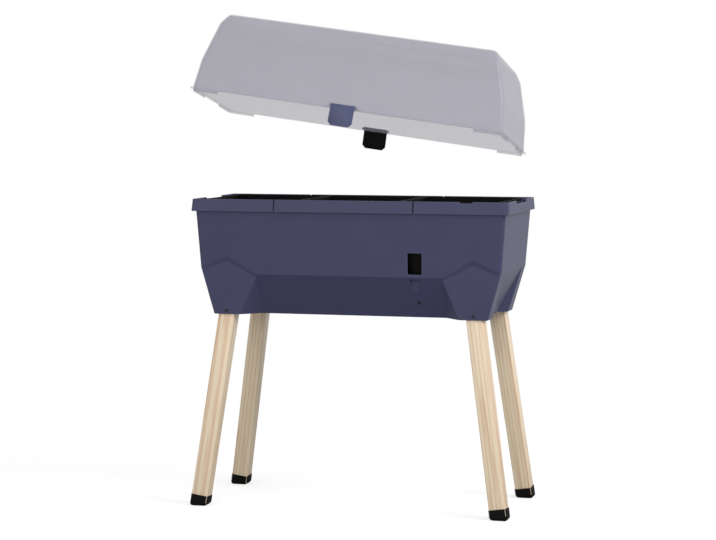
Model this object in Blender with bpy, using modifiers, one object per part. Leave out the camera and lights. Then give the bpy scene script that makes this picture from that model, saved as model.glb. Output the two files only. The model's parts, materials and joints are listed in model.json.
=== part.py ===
"""Self-watering raised planter: tub on four splayed legs, soil trays with wick cups, and a lifted lid.

Metres, +Z up. X runs along the planter and the window side faces -Y. The floor is z = 0.
The lid and its clips are modelled seated on the rim, then carried to their lifted place by empties.
Lengths and depths are half sizes, measured from the middle of the tub. An inset says how far inside the
size before it a level or a place lies.
"""
import math

import bmesh
import bpy
from mathutils import Matrix, Quaternion, Vector

# Small values that every piece shares
GAP = 0.0003            # space left between two pieces that touch
OVERRUN = 0.010         # how far a cutter runs past what it cuts
MERGE = 0.00001         # points closer than this are one
CORNER_STEPS = 4        # flats round an upright corner
CORNER_SHARE = 0.5      # the corner's curve is a quarter circle
ROUND_STEPS = 16        # flats round a turned piece
FLAT_ANGLE = math.radians(0.05)
SHARP_ANGLE = math.radians(30)

# Tub: its size at the top edge, how far the lower levels lie inside that, and their heights
TOP_LENGTH = 0.3835
TOP_DEPTH = 0.156
BEND_INSET_LENGTH = 0.0105
BEND_INSET_DEPTH = 0.004
LOW_INSET_LENGTH = 0.0325
LOW_INSET_DEPTH = 0.002
TUB_WALL = 0.004
TUB_CORNER = 0.008
POCKET_LOW_Z = 0.4705
POCKET_HEIGHT = 0.1125
WALL_HEIGHT = 0.135
TOP_BAND = 0.0174
BEND_Z = POCKET_LOW_Z + POCKET_HEIGHT
WALL_TOP_Z = BEND_Z + WALL_HEIGHT
TUB_TOP_Z = WALL_TOP_Z + TOP_BAND
BEND_LENGTH = TOP_LENGTH - BEND_INSET_LENGTH
BEND_DEPTH = TOP_DEPTH - BEND_INSET_DEPTH
POCKET_LOW_LENGTH = BEND_LENGTH - LOW_INSET_LENGTH
POCKET_LOW_DEPTH = BEND_DEPTH - LOW_INSET_DEPTH

# Sloped panels between the pockets
PANEL_LIFT = 0.0035          # the panels start this far above the pockets' floor
SIDE_CREASE_DROP = 0.014    # below the bend
END_CREASE_DROP = 0.016
SIDE_PANEL_INSET = 0.103
SIDE_PANEL_SLOPE = 0.043
END_PANEL_SLOPE = 0.012
END_PANEL_TOP_INSET = 0.047
END_PANEL_LOW_INSET = 0.078
FLARE_SHARE = 0.94          # how fast a pocket's inner wall widens, sideways for each unit outward
PANEL_LOW_Z = POCKET_LOW_Z + PANEL_LIFT
SIDE_CREASE_Z = BEND_Z - SIDE_CREASE_DROP
END_CREASE_Z = BEND_Z - END_CREASE_DROP
SIDE_PANEL_HALF = POCKET_LOW_LENGTH - SIDE_PANEL_INSET
SIDE_PANEL_LOW_DEPTH = POCKET_LOW_DEPTH - SIDE_PANEL_SLOPE
END_PANEL_LOW_LENGTH = POCKET_LOW_LENGTH - END_PANEL_SLOPE
END_PANEL_TOP_HALF = TOP_DEPTH - END_PANEL_TOP_INSET
END_PANEL_LOW_HALF = POCKET_LOW_DEPTH - END_PANEL_LOW_INSET

# Pocket recesses, each under a pointed ledge on the long side and a straight one on the end
TENT_TOP_INSET = 0.0735
TENT_TOP_RISE = 0.0305       # above the bend
TENT_END_RISE = 0.001
TENT_LEDGE_SHARE = 2.2      # rise of the ledge over its depth
END_RECESS_TOP_OVER = 0.0013
END_RECESS_LOW_OVER = 0.011
TENT_TOP_X = TOP_LENGTH - TENT_TOP_INSET
TENT_TOP_Z = BEND_Z + TENT_TOP_RISE
TENT_END_Z = BEND_Z + TENT_END_RISE
END_RECESS_TOP_HALF = END_PANEL_TOP_HALF + END_RECESS_TOP_OVER
END_RECESS_LOW_HALF = END_PANEL_LOW_HALF + END_RECESS_LOW_OVER

# Legs: their axes cross the pockets' floor inside its corners and spread out towards the floor
LEG_SIZE = 0.040
LEG_EDGE = 0.002
LEG_INSET_X = 0.0325
LEG_INSET_Y = 0.023
LEG_SPLAY_X = 0.0665
LEG_SPLAY_Y = 0.030
LEG_IN_SOCKET = 0.100
LEG_LIFT = 0.008            # wood above the floor, along the leg
SOCKET_WALL = 0.004
SOCKET_FILL = 0.010         # solid past a socket's wall, towards the tub's outer walls
CAP_WALL = 0.0018
CAP_HEIGHT = 0.026
CAP_EDGE = 0.008
LEG_TOP_X = POCKET_LOW_LENGTH - LEG_INSET_X
LEG_TOP_Y = POCKET_LOW_DEPTH - LEG_INSET_Y
LEG_FOOT_X = LEG_TOP_X + LEG_SPLAY_X
LEG_FOOT_Y = LEG_TOP_Y + LEG_SPLAY_Y

# Leg screws, through the pocket's front or rear face
SCREW_RISE = 0.009         # above the pocket's floor
SCREW_SHANK = 0.0018
SCREW_HEAD = 0.0035
SCREW_HEAD_HEIGHT = 0.0018
SCREW_LENGTH = 0.020
SCREW_SLOT_WIDTH = 0.0009
SCREW_SLOT_DEPTH = 0.0009
CROSS_SHARE = 0.6           # the cross's reach over the head's radius
SCREW_Z = POCKET_LOW_Z + SCREW_RISE

# Rim, made in four pieces that meet at two seams on each long side
RIM_WALL = 0.003
RIM_CLEAR_LENGTH = 0.007    # between the tub's wall and the rim's inner face
RIM_CLEAR_DEPTH = 0.0035
RIM_LEAN_LENGTH = 0.002     # how far the rim's top edge lies inside its lower edge
RIM_LEAN_DEPTH = 0.004
RIM_SKIRT = 0.0149          # below the tub's top edge
RIM_RISE = 0.0146           # above it
RIM_LIP = 0.0045
RIM_STEP = 0.008            # depth of the rebate behind the lip
RIM_WIDTH = 0.0255
RIM_CORNER = 0.007
SEAM_LEFT_INSET = 0.1999
SEAM_RIGHT_INSET = 0.2221
SEAM_GAP = 0.0012
DIP_HALF = 0.060            # the ends' lip is lower over this half width
DIP_DEPTH = 0.007
DIP_SLOPE = 0.006
NOTCH_INSET = 0.0941
NOTCH_HALF = 0.0155
NOTCH_DEPTH = 0.003
NOTCH_OVER = 0.002          # how far the notch runs in past the lip
RIM_LOW_Z = TUB_TOP_Z - RIM_SKIRT
RIM_TOP_Z = TUB_TOP_Z + RIM_RISE
RIM_LOW_LENGTH = TOP_LENGTH + RIM_CLEAR_LENGTH + RIM_WALL
RIM_LOW_DEPTH = TOP_DEPTH + RIM_CLEAR_DEPTH + RIM_WALL
RIM_TOP_LENGTH = RIM_LOW_LENGTH - RIM_LEAN_LENGTH
RIM_TOP_DEPTH = RIM_LOW_DEPTH - RIM_LEAN_DEPTH
SEAM_LEFT_X = SEAM_LEFT_INSET - TOP_LENGTH
SEAM_RIGHT_X = TOP_LENGTH - SEAM_RIGHT_INSET
NOTCH_X = TOP_LENGTH - NOTCH_INSET

# Soil trays
TRAY_COUNT = 3
TRAY_WALL = 0.0022
TRAY_FLANGE = 0.003
TRAY_FLANGE_INSET = 0.0005
TRAY_LIFT = 0.007           # the trays' floor above the bend
TRAY_DRAFT = 0.012
TRAY_CORNER = 0.008
DRAIN_HALF_LENGTH = 0.012
DRAIN_HALF_WIDTH = 0.002
DRAIN_COUNT = 5             # in each row
DRAIN_END = 0.0275          # from the tray's end to the middle of the last drain
DRAIN_EDGE = 0.014          # from the tray's long side to a row of drains
TRAY_FLOOR_Z = BEND_Z + TRAY_LIFT
TRAY_MOUTH_LENGTH = RIM_TOP_LENGTH - RIM_WIDTH
TRAY_MOUTH_DEPTH = RIM_TOP_DEPTH - RIM_WIDTH
TRAY_FLOOR_DEPTH = TRAY_MOUTH_DEPTH - TRAY_DRAFT
DRAIN_ROW_Y = TRAY_FLOOR_DEPTH - DRAIN_EDGE

# Wick cups
CUP_SHIFT = 0.008           # from the middle of the tray floor's half towards the planter's middle
CUP_TOP = 0.028
CUP_LOW = 0.022
CUP_WALL = 0.002
CUP_FLANGE = 0.033
CUP_LIFT = 0.006            # above the tub's raised bottom
CUP_SLOT_WIDTH = 0.003
CUP_SLOT_HEIGHT = 0.030
CUP_Y = TRAY_FLOOR_DEPTH / 2 - CUP_SHIFT
CUP_LOW_Z = PANEL_LOW_Z + CUP_LIFT

# Filler window, chute, groove and overflow
WINDOW_INSET = 0.0734       # from the end of the sloped panel to the window's middle
WINDOW_HALF = 0.0175
WINDOW_LIFT = 0.007         # above the crease
WINDOW_HEIGHT = 0.051
WINDOW_CORNER = 0.003
CHUTE_MARGIN = 0.005
CHUTE_WALL = 0.002
CHUTE_DEPTH_TOP = 0.0202    # from the bend's face to the chute's back
CHUTE_DEPTH_LOW = 0.0247
GROOVE_DROP = 0.005         # below the crease
GROOVE_HEIGHT = 0.0515
GROOVE_LEFT = 0.0152        # from the window's middle
GROOVE_RIGHT = 0.0128
GROOVE_DEPTH = 0.009
GROOVE_SIDE = 0.003
OVERFLOW_SHIFT = 0.0052     # from the window's middle
OVERFLOW_DROP = 0.005       # below the groove's tip
OVERFLOW_RADIUS = 0.003
PLUG_HEAD = 0.004
PLUG_HEAD_HEIGHT = 0.0015
PLUG_TAIL = 0.003
WINDOW_X = SIDE_PANEL_HALF - WINDOW_INSET
WINDOW_LOW_Z = SIDE_CREASE_Z + WINDOW_LIFT
WINDOW_HIGH_Z = WINDOW_LOW_Z + WINDOW_HEIGHT
GROOVE_LEFT_X = WINDOW_X - GROOVE_LEFT
GROOVE_RIGHT_X = WINDOW_X + GROOVE_RIGHT
GROOVE_TOP_Z = SIDE_CREASE_Z - GROOVE_DROP
GROOVE_TIP_Z = GROOVE_TOP_Z - GROOVE_HEIGHT
OVERFLOW_X = WINDOW_X + OVERFLOW_SHIFT
OVERFLOW_Z = GROOVE_TIP_Z - OVERFLOW_DROP

# Lid: each level's rise above the one below, and how far it lies inside the rim's top edge
LID_BEND_RISE = 0.0759
LID_SHOULDER_RISE = 0.0949
LID_CROWN_RISE = 0.0248
LID_LOW_INSET_LENGTH = 0.0017
LID_LOW_INSET_DEPTH = 0.0065
LID_BEND_INSET_LENGTH = 0.0107
LID_BEND_INSET_DEPTH = 0.0087
LID_SHOULDER_INSET_LENGTH = 0.0393
LID_SHOULDER_INSET_DEPTH = 0.0115
LID_TOP_INSET_LENGTH = 0.0547
LID_TOP_INSET_DEPTH = 0.0237
LID_WALL = 0.0024
LID_CORNER = 0.012
LID_FLANGE = 0.003
LID_FLANGE_OVER = 0.002     # how far the flange passes the rim's top edge
LID_LEDGE = 0.0035          # width of the flange inside the end walls
SKIRT_DROP = 0.0066
SKIRT_WALL = 0.0022
SKIRT_CLEAR = 0.0006        # between the skirt and the rim's lip
SKIRT_SIDE_LENGTH = 0.066   # along the long sides, from the corner
SKIRT_END_LENGTH = 0.094    # along the ends, from the corner
LID_LOW_DEPTH = RIM_TOP_DEPTH - LID_LOW_INSET_DEPTH
LID_LOW_LENGTH = RIM_TOP_LENGTH - LID_LOW_INSET_LENGTH

# Clips and their pins
PIN_RISE = 0.0065           # the pins' axes above the rim
PIN_RADIUS = 0.002
PIN_CLEAR = 0.0003
KNUCKLE = 0.0045
CLIP_HALF = 0.030
CLIP_THICK = 0.003
CLIP_DROP = 0.0125          # below the rim's lower edge
CLIP_CHAMFER = 0.008
HOOK_CLEAR = 0.001          # below the rim's lower edge
HOOK_HEIGHT = 0.0055
HOOK_REACH = 0.002          # how far it reaches under the rim's edge
HOOK_HALF = 0.022
LUG_THICK = 0.0045
LUG_CLEAR = 0.0005
CLIP_NOTCH_HALF = 0.0015
CLIP_NOTCH_DEPTH = 0.0015
CLIP_NOTCH_X = 0.004
PIN_Y = RIM_LOW_DEPTH
PIN_Z = RIM_TOP_Z + PIN_RISE
CLIP_LOW_Z = RIM_LOW_Z - CLIP_DROP
HOOK_HIGH_Z = RIM_LOW_Z - HOOK_CLEAR
HOOK_LOW_Z = HOOK_HIGH_Z - HOOK_HEIGHT

# The lifted place of the lid: turned open on the rear pin, and swung up about a far, tilted axis
LIFT_FAR = 0.7449           # beyond the tub's end
LIFT_HIGH = 0.224           # above the rim
LIFT_LEAN_SHARE = 0.071     # how far the axis drops for each unit that it runs back
LIFT_ANGLE = math.radians(7.89)
OPEN_ANGLE = math.radians(10.82)
LIFT_POINT = Vector((TOP_LENGTH + LIFT_FAR, PIN_Y, RIM_TOP_Z + LIFT_HIGH))
LIFT_AXIS = Vector((0, 1, -LIFT_LEAN_SHARE)).normalized()

COLOURS = {
    "slate": ((0.060, 0.062, 0.108, 1), 0.45, 0.0),
    "black": ((0.005, 0.005, 0.005, 1), 0.5, 0.0),
    "clip_blue": ((0.117, 0.127, 0.202, 1), 0.45, 0.0),
    "wood": ((0.65, 0.53, 0.40, 1), 0.6, 0.0),
    "frosted": ((0.52, 0.50, 0.56, 1), 0.35, 0.0),
    "steel": ((0.30, 0.30, 0.31, 1), 0.35, 1.0),
    "rubber": ((0.006, 0.006, 0.006, 1), 0.7, 0.0),
}


def start():
    """Empty the scene and make the two collections."""
    for item in list(bpy.data.objects):
        bpy.data.objects.remove(item, do_unlink=True)
    made = []
    for name in ("self_watering_planter", "cutters"):
        collection = bpy.data.collections.new(name)
        bpy.context.scene.collection.children.link(collection)
        made.append(collection)
    return made


PIECES, CUTTERS = start()


def material(name):
    """The named finish, made once."""
    found = bpy.data.materials.get(name)
    if found:
        return found
    colour, roughness, metallic = COLOURS[name]
    made = bpy.data.materials.new(name)
    made.use_nodes = True
    shader = made.node_tree.nodes["Principled BSDF"]
    shader.inputs["Base Color"].default_value = colour
    shader.inputs["Roughness"].default_value = roughness
    shader.inputs["Metallic"].default_value = metallic
    return made


def add_object(name, bm, finish=None):
    """Turn a bmesh into an object: a piece if it has a finish, otherwise a cutter."""
    bmesh.ops.recalc_face_normals(bm, faces=bm.faces)
    mesh = bpy.data.meshes.new(name)
    bm.to_mesh(mesh)
    bm.free()
    made = bpy.data.objects.new(name, mesh)
    if finish:
        mesh.materials.append(material(finish))
        PIECES.objects.link(made)
    else:
        made.hide_render = True
        made.display_type = "WIRE"
        CUTTERS.objects.link(made)
    return made


def along(value, low, high):
    """The straight line through two (place, size) pairs, read at a place."""
    share = (value - low[0]) / (high[0] - low[0])
    return low[1] + share * (high[1] - low[1])


def stack(name, rings, corner=0, finish=None, centre=(0, 0)):
    """A box lofted up through flat rectangles (z, half length, half depth), its upright edges rounded."""
    bm = bmesh.new()
    bmesh.ops.create_cube(bm, size=1)

    def to_ring(verts, ring):
        for vert in verts:
            vert.co.x = math.copysign(ring[1], vert.co.x)
            vert.co.y = math.copysign(ring[2], vert.co.y)
            vert.co.z = ring[0]

    lower = [vert for vert in bm.verts if vert.co.z < 0]
    upper = [vert for vert in bm.verts if vert.co.z > 0]
    top = next(face for face in bm.faces if all(vert in upper for vert in face.verts))
    to_ring(lower, rings[0])
    to_ring(upper, rings[1])
    for ring in rings[2:]:
        top = bmesh.ops.extrude_discrete_faces(bm, faces=[top])["faces"][0]
        to_ring(top.verts, ring)
    if corner:
        upright = []
        for edge in bm.edges:
            a, b = edge.verts[0].co, edge.verts[1].co
            if a.x * b.x > 0 and a.y * b.y > 0:
                upright.append(edge)
        bmesh.ops.bevel(
            bm, geom=upright, offset=corner, segments=CORNER_STEPS, profile=CORNER_SHARE, affect="EDGES")
    bmesh.ops.translate(bm, vec=(centre[0], centre[1], 0), verts=bm.verts)
    return add_object(name, bm, finish)


def hull(name, points, finish=None):
    """The convex solid round some points."""
    bm = bmesh.new()
    for point in points:
        bm.verts.new(point)
    made = bmesh.ops.convex_hull(bm, input=bm.verts)
    spare = [item for item in made["geom_interior"] if isinstance(item, bmesh.types.BMVert)]
    bmesh.ops.delete(bm, geom=spare, context="VERTS")
    bmesh.ops.dissolve_limit(bm, angle_limit=FLAT_ANGLE, verts=bm.verts, edges=bm.edges)
    return add_object(name, bm, finish)


def box(name, low, high, finish=None):
    """An upright box between two corners."""
    bm = bmesh.new()
    bmesh.ops.create_cube(bm, size=1)
    for vert in bm.verts:
        for axis in range(3):
            vert.co[axis] = high[axis] if vert.co[axis] > 0 else low[axis]
    return add_object(name, bm, finish)


def rod(name, radius, length, matrix, finish=None, steps=ROUND_STEPS):
    """A round bar centred on a place, lying along the matrix's Z."""
    bm = bmesh.new()
    bmesh.ops.create_cone(
        bm, cap_ends=True, segments=steps, radius1=radius, radius2=radius, depth=length, matrix=matrix)
    return add_object(name, bm, finish)


def turned(name, profile, centre, finish, steps=ROUND_STEPS):
    """A profile of (radius, z) points, from the axis over the top, down the outer side and back, turned."""
    bm = bmesh.new()
    verts = [bm.verts.new((radius, 0, z)) for radius, z in profile]
    for above, below in zip(verts, verts[1:]):
        bm.edges.new((above, below))
    mesh = bpy.data.meshes.new(name)
    bm.to_mesh(mesh)
    bm.free()
    mesh.materials.append(material(finish))
    made = bpy.data.objects.new(name, mesh)
    made.location = centre
    PIECES.objects.link(made)
    screw = made.modifiers.new("turn", "SCREW")
    screw.steps = steps
    screw.render_steps = steps
    screw.use_merge_vertices = True
    screw.merge_threshold = MERGE
    return made


def combine(target, operation, *others):
    """Cut, join or keep the overlap, with each other shape in turn."""
    for other in others:
        modifier = target.modifiers.new(other.name, "BOOLEAN")
        modifier.operation = operation
        modifier.solver = "EXACT"
        modifier.object = other


def carry(empty, *pieces):
    """Parent pieces to an empty without moving them."""
    for piece in pieces:
        piece.parent = empty
        piece.location = piece.location - empty.location


def empty_at(name, place):
    """An empty that pieces hang from."""
    made = bpy.data.objects.new(name, None)
    made.location = place
    PIECES.objects.link(made)
    return made


def side_depth(z):
    """How far out the tub's long sides lie at a height."""
    if z < BEND_Z:
        return along(z, (POCKET_LOW_Z, POCKET_LOW_DEPTH), (BEND_Z, BEND_DEPTH))
    return along(z, (BEND_Z, BEND_DEPTH), (WALL_TOP_Z, TOP_DEPTH))


def upper_length(z):
    """How far out the tub's ends lie above the bend, and on the same line below it."""
    return along(z, (BEND_Z, BEND_LENGTH), (WALL_TOP_Z, TOP_LENGTH))


def side_panel_depth(z):
    """How far out a long side's sloped panel lies."""
    crease = (SIDE_CREASE_Z, side_depth(SIDE_CREASE_Z))
    return along(z, (PANEL_LOW_Z, SIDE_PANEL_LOW_DEPTH), crease)


def end_panel_length(z):
    """How far out an end's sloped panel lies."""
    crease = (END_CREASE_Z, upper_length(END_CREASE_Z))
    return along(z, (PANEL_LOW_Z, END_PANEL_LOW_LENGTH), crease)


def end_panel_half(z):
    """Half the width of an end's sloped panel, which narrows below."""
    return along(z, (PANEL_LOW_Z, END_PANEL_LOW_HALF), (END_CREASE_Z, END_PANEL_TOP_HALF))


def end_recess_length(z):
    """How far out a pocket's end face lies."""
    return along(z, (POCKET_LOW_Z, POCKET_LOW_LENGTH), (BEND_Z, BEND_LENGTH))


def end_recess_half(z):
    """Where a pocket's end face starts, from the middle of the end."""
    return along(z, (PANEL_LOW_Z, END_RECESS_LOW_HALF), (BEND_Z, END_RECESS_TOP_HALF))


def panel_points(top_z, depth_at, half_at, inset, place):
    """The wedge outside one sloped panel, with ends that flare outward into the pockets."""
    outer = depth_at(top_z) + OVERRUN
    points = []
    for z in (POCKET_LOW_Z - OVERRUN, top_z):
        depth = depth_at(z) - inset
        half = half_at(z) + inset
        flared = half + FLARE_SHARE * (outer - depth)
        for side in (-1, 1):
            points.append(place(side * half, depth, z))
            points.append(place(side * flared, outer, z))
    return points


def recess_points(side, inset, place):
    """The space cut from a pocket's long face, under its pointed ledge."""
    face = POCKET_LOW_DEPTH - inset
    outer = TOP_DEPTH + OVERRUN
    far = TOP_LENGTH + OVERRUN
    inner = SIDE_PANEL_HALF - inset
    tent = (
        (inner, SIDE_CREASE_Z),
        (TENT_TOP_X, TENT_TOP_Z),
        (far, along(far, (TENT_TOP_X, TENT_TOP_Z), (BEND_LENGTH, TENT_END_Z))),
    )
    points = []
    for depth in (face, outer):
        for x, z in tent:
            surface = side_depth(z)
            points.append(place(side * x, depth, z + inset + TENT_LEDGE_SHARE * (depth - surface)))
        for x in (inner, far):
            points.append(place(side * x, depth, POCKET_LOW_Z - OVERRUN))
    return points


def end_recess_points(side, inset, place):
    """The space cut from a pocket's end face."""
    points = []
    for z in (POCKET_LOW_Z - OVERRUN, BEND_Z):
        length = end_recess_length(z) - inset
        half = end_recess_half(z) - inset
        for x in (length, TOP_LENGTH + OVERRUN):
            for y in (half, TOP_DEPTH + OVERRUN):
                points.append(place(side * y, x, z))
    return points


def shape_tub(name, inset, floor_z, finish=None):
    """The tub's outer form, or with an inset the hollow inside it."""
    rings = [
        (floor_z, end_envelope(floor_z), side_depth(floor_z)),
        (END_CREASE_Z, upper_length(END_CREASE_Z), side_depth(END_CREASE_Z)),
        (BEND_Z, BEND_LENGTH, BEND_DEPTH),
        (WALL_TOP_Z, TOP_LENGTH, TOP_DEPTH),
        (TUB_TOP_Z + (OVERRUN if inset else 0), TOP_LENGTH, TOP_DEPTH),
    ]
    rings = [(z, length - inset, depth - inset) for z, length, depth in rings]
    form = stack(name, rings, TUB_CORNER - inset, finish)
    for side, word in ((-1, "front"), (1, "rear")):
        def place_side(x, y, z, side=side):
            return (x, side * y, z)
        panel = panel_points(SIDE_CREASE_Z, side_panel_depth, lambda z: SIDE_PANEL_HALF, inset, place_side)
        combine(form, "DIFFERENCE", hull(f"{name}_{word}_panel", panel))
        for end, end_word in ((-1, "left"), (1, "right")):
            recess = recess_points(end, inset, place_side)
            combine(form, "DIFFERENCE", hull(f"{name}_{word}_{end_word}_recess", recess))
    for side, word in ((-1, "left"), (1, "right")):
        def place_end(y, x, z, side=side):
            return (side * x, y, z)
        panel = panel_points(END_CREASE_Z, end_panel_length, end_panel_half, inset, place_end)
        combine(form, "DIFFERENCE", hull(f"{name}_{word}_end_panel", panel))
        for end, end_word in ((-1, "front"), (1, "rear")):
            recess = end_recess_points(end, inset, place_end)
            combine(form, "DIFFERENCE", hull(f"{name}_{word}_end_{end_word}_recess", recess))
    return form


def end_envelope(z):
    """Half length of the tub's uncut form below the end crease."""
    return along(z, (POCKET_LOW_Z, POCKET_LOW_LENGTH), (END_CREASE_Z, upper_length(END_CREASE_Z)))


def leg_matrix(side_x, side_y):
    """The frame of one leg: its origin where the axis meets the floor, its Z up along the wood."""
    foot = Vector((side_x * LEG_FOOT_X, side_y * LEG_FOOT_Y, 0))
    top = Vector((side_x * LEG_TOP_X, side_y * LEG_TOP_Y, POCKET_LOW_Z))
    up = (top - foot).normalized()
    across = Vector((0, 1, 0)).cross(up).normalized()
    frame = Matrix((across, up.cross(across), up)).transposed().to_4x4()
    return Matrix.Translation(foot) @ frame, (top - foot).length


def leg_corners():
    """Each leg's side in X, its side in Y and its name."""
    for side_x, word_x in ((-1, "left"), (1, "right")):
        for side_y, word_y in ((-1, "front"), (1, "rear")):
            yield side_x, side_y, f"{word_y}_{word_x}"


def leg_bar(name, matrix, half, low, high, finish=None, edge=0, outward=(0, 0)):
    """A square bar on a leg's axis, which may reach further on its outer sides."""
    x, y = outward
    bar = box(
        name, (min(x, 0) - half, min(y, 0) - half, low), (max(x, 0) + half, max(y, 0) + half, high), finish)
    bar.matrix_world = matrix
    if edge:
        bevel = bar.modifiers.new("edges", "BEVEL")
        bevel.width = edge
        bevel.segments = 1
    return bar


def panel_normal():
    """The outward normal of the front sloped panel."""
    rise = SIDE_CREASE_Z - PANEL_LOW_Z
    run = side_panel_depth(SIDE_CREASE_Z) - SIDE_PANEL_LOW_DEPTH
    return Vector((0, -rise, -run)).normalized()


def facing(direction):
    """A matrix whose Z lies along a direction."""
    return Vector(direction).to_track_quat("Z", "Y").to_matrix().to_4x4()


def groove_points(margin, reach):
    """The pointed groove below the window; the margin grows it into the pad behind it."""
    depth = side_panel_depth(GROOVE_TOP_Z)
    share = reach / GROOVE_DEPTH
    top = GROOVE_TOP_Z + margin
    points = []
    for side, edge in ((-1, GROOVE_LEFT_X - margin), (1, GROOVE_RIGHT_X + margin)):
        points.append((edge - side * GROOVE_SIDE, -(depth - GROOVE_DEPTH - margin), top - GROOVE_SIDE))
        points.append((edge + side * share * GROOVE_SIDE, -(depth + reach), top + share * GROOVE_SIDE))
    tip = GROOVE_TIP_Z - margin - share * (GROOVE_TOP_Z - GROOVE_TIP_Z)
    points.append((OVERFLOW_X, -(side_panel_depth(GROOVE_TIP_Z) - margin + reach), tip))
    return points


def overflow_matrix():
    """The overflow hole's axis, square to the sloped panel."""
    place = Vector((OVERFLOW_X, -side_panel_depth(OVERFLOW_Z), OVERFLOW_Z))
    return Matrix.Translation(place) @ facing(panel_normal())


def build_tub():
    """The tub with its hollow, the legs' sockets, the window, the groove and the overflow hole."""
    tub = shape_tub("tub", 0, POCKET_LOW_Z, "slate")
    hollow = shape_tub("hollow", TUB_WALL, PANEL_LOW_Z + TUB_WALL)
    for side_x, side_y, word in leg_corners():
        matrix, length = leg_matrix(side_x, side_y)
        half = LEG_SIZE / 2 + GAP
        end = length + LEG_IN_SOCKET + GAP
        fill = (side_x * SOCKET_FILL, side_y * SOCKET_FILL)
        boss = leg_bar(
            f"boss_{word}", matrix, half + SOCKET_WALL, length - OVERRUN, end + SOCKET_WALL, outward=fill)
        slot = leg_bar(f"slot_{word}", matrix, half, length - LEG_IN_SOCKET, end)
        combine(hollow, "DIFFERENCE", boss)
        hole = rod(
            f"screw_hole_{word}", SCREW_SHANK + GAP, LEG_SIZE,
            screw_matrix(side_x, side_y))
        combine(tub, "DIFFERENCE", slot, hole)
    pad = hull("groove_pad", groove_points(TUB_WALL, 0))
    combine(hollow, "DIFFERENCE", pad)
    under = []
    for z in (PANEL_LOW_Z, POCKET_LOW_Z - OVERRUN):
        for side_x in (-1, 1):
            for side_y in (-1, 1):
                near = (SIDE_PANEL_HALF + FLARE_SHARE * TUB_WALL, SIDE_PANEL_LOW_DEPTH + TUB_WALL)
                far = (END_PANEL_LOW_LENGTH + TUB_WALL, END_PANEL_LOW_HALF + FLARE_SHARE * TUB_WALL)
                under.append((side_x * near[0], side_y * near[1], z))
                under.append((side_x * far[0], side_y * far[1], z))
    combine(tub, "DIFFERENCE", hull("raised_bottom", under))
    window = stack(
        "window_hole",
        [(-TUB_CORNER, WINDOW_HALF, (WINDOW_HIGH_Z - WINDOW_LOW_Z) / 2),
         (TUB_CORNER, WINDOW_HALF, (WINDOW_HIGH_Z - WINDOW_LOW_Z) / 2)],
        WINDOW_CORNER)
    window.rotation_euler = (math.pi / 2, 0, 0)
    window.location = (WINDOW_X, -side_depth(WINDOW_HIGH_Z), (WINDOW_LOW_Z + WINDOW_HIGH_Z) / 2)
    groove = hull("groove", groove_points(0, GROOVE_SIDE))
    overflow = rod("overflow_hole", OVERFLOW_RADIUS, TUB_CORNER, overflow_matrix())
    combine(tub, "DIFFERENCE", hollow, window, groove, overflow)
    return tub


def screw_matrix(side_x, side_y):
    """The screw's axis, square to the pocket's long face, crossing the leg's axis."""
    share = SCREW_Z / POCKET_LOW_Z
    x = side_x * (LEG_FOOT_X + share * (LEG_TOP_X - LEG_FOOT_X))
    place = Vector((x, side_y * POCKET_LOW_DEPTH, SCREW_Z))
    return Matrix.Translation(place) @ facing((0, side_y, 0))


def build_legs():
    """Each leg with its screw's pilot hole, its foot cap and its screw."""
    for side_x, side_y, word in leg_corners():
        matrix, length = leg_matrix(side_x, side_y)
        half = LEG_SIZE / 2
        leg = leg_bar(f"leg_{word}", matrix, half, LEG_LIFT, length + LEG_IN_SOCKET, "wood", LEG_EDGE)
        into = SCREW_LENGTH + GAP
        pilot_place = screw_matrix(side_x, side_y) @ Matrix.Translation((0, 0, -into / 2))
        pilot = rod(f"pilot_{word}", SCREW_SHANK + GAP, into, pilot_place)
        combine(leg, "DIFFERENCE", pilot)
        build_foot_cap(word, matrix)
        build_screw(word, side_x, side_y)


def build_foot_cap(word, matrix):
    """A cap cut flat at the floor and square above, with the leg's end let into it."""
    half = LEG_SIZE / 2 + GAP
    reach = LEG_SIZE + OVERRUN
    cap = leg_bar(f"foot_cap_{word}", matrix, half + CAP_WALL, -CAP_HEIGHT, reach, "rubber")
    floor = box(
        f"floor_{word}", (-LEG_FOOT_X - reach, -LEG_FOOT_Y - reach, -CAP_HEIGHT - reach),
        (LEG_FOOT_X + reach, LEG_FOOT_Y + reach, 0))
    above = leg_bar(f"cap_above_{word}", matrix, reach, CAP_HEIGHT, CAP_HEIGHT + reach)
    inside = leg_bar(f"cap_inside_{word}", matrix, half, LEG_LIFT - GAP, CAP_HEIGHT + OVERRUN)
    combine(cap, "DIFFERENCE", floor)
    bevel = cap.modifiers.new("edges", "BEVEL")
    bevel.width = CAP_EDGE
    bevel.segments = 2
    bevel.limit_method = "ANGLE"
    combine(cap, "DIFFERENCE", above, inside)


def build_screw(word, side_x, side_y):
    """A round head on the pocket's face, a shank into the leg and a cross cut in the head."""
    matrix = screw_matrix(side_x, side_y)
    profile = [
        (0, GAP + SCREW_HEAD_HEIGHT), (SCREW_HEAD, GAP + SCREW_HEAD_HEIGHT), (SCREW_HEAD, GAP),
        (SCREW_SHANK, GAP), (SCREW_SHANK, -SCREW_LENGTH), (0, -SCREW_LENGTH)]
    screw = turned(f"leg_screw_{word}", profile, (0, 0, 0), "steel")
    screw.matrix_world = matrix
    top = GAP + SCREW_HEAD_HEIGHT
    arm, half = SCREW_HEAD * CROSS_SHARE, SCREW_SLOT_WIDTH / 2
    for number, (half_x, half_y) in enumerate(((arm, half), (half, arm))):
        slot = box(
            f"cross_{word}_{number}",
            (-half_x, -half_y, top - SCREW_SLOT_DEPTH), (half_x, half_y, top + OVERRUN))
        slot.matrix_world = matrix
        combine(screw, "DIFFERENCE", slot)


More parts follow.
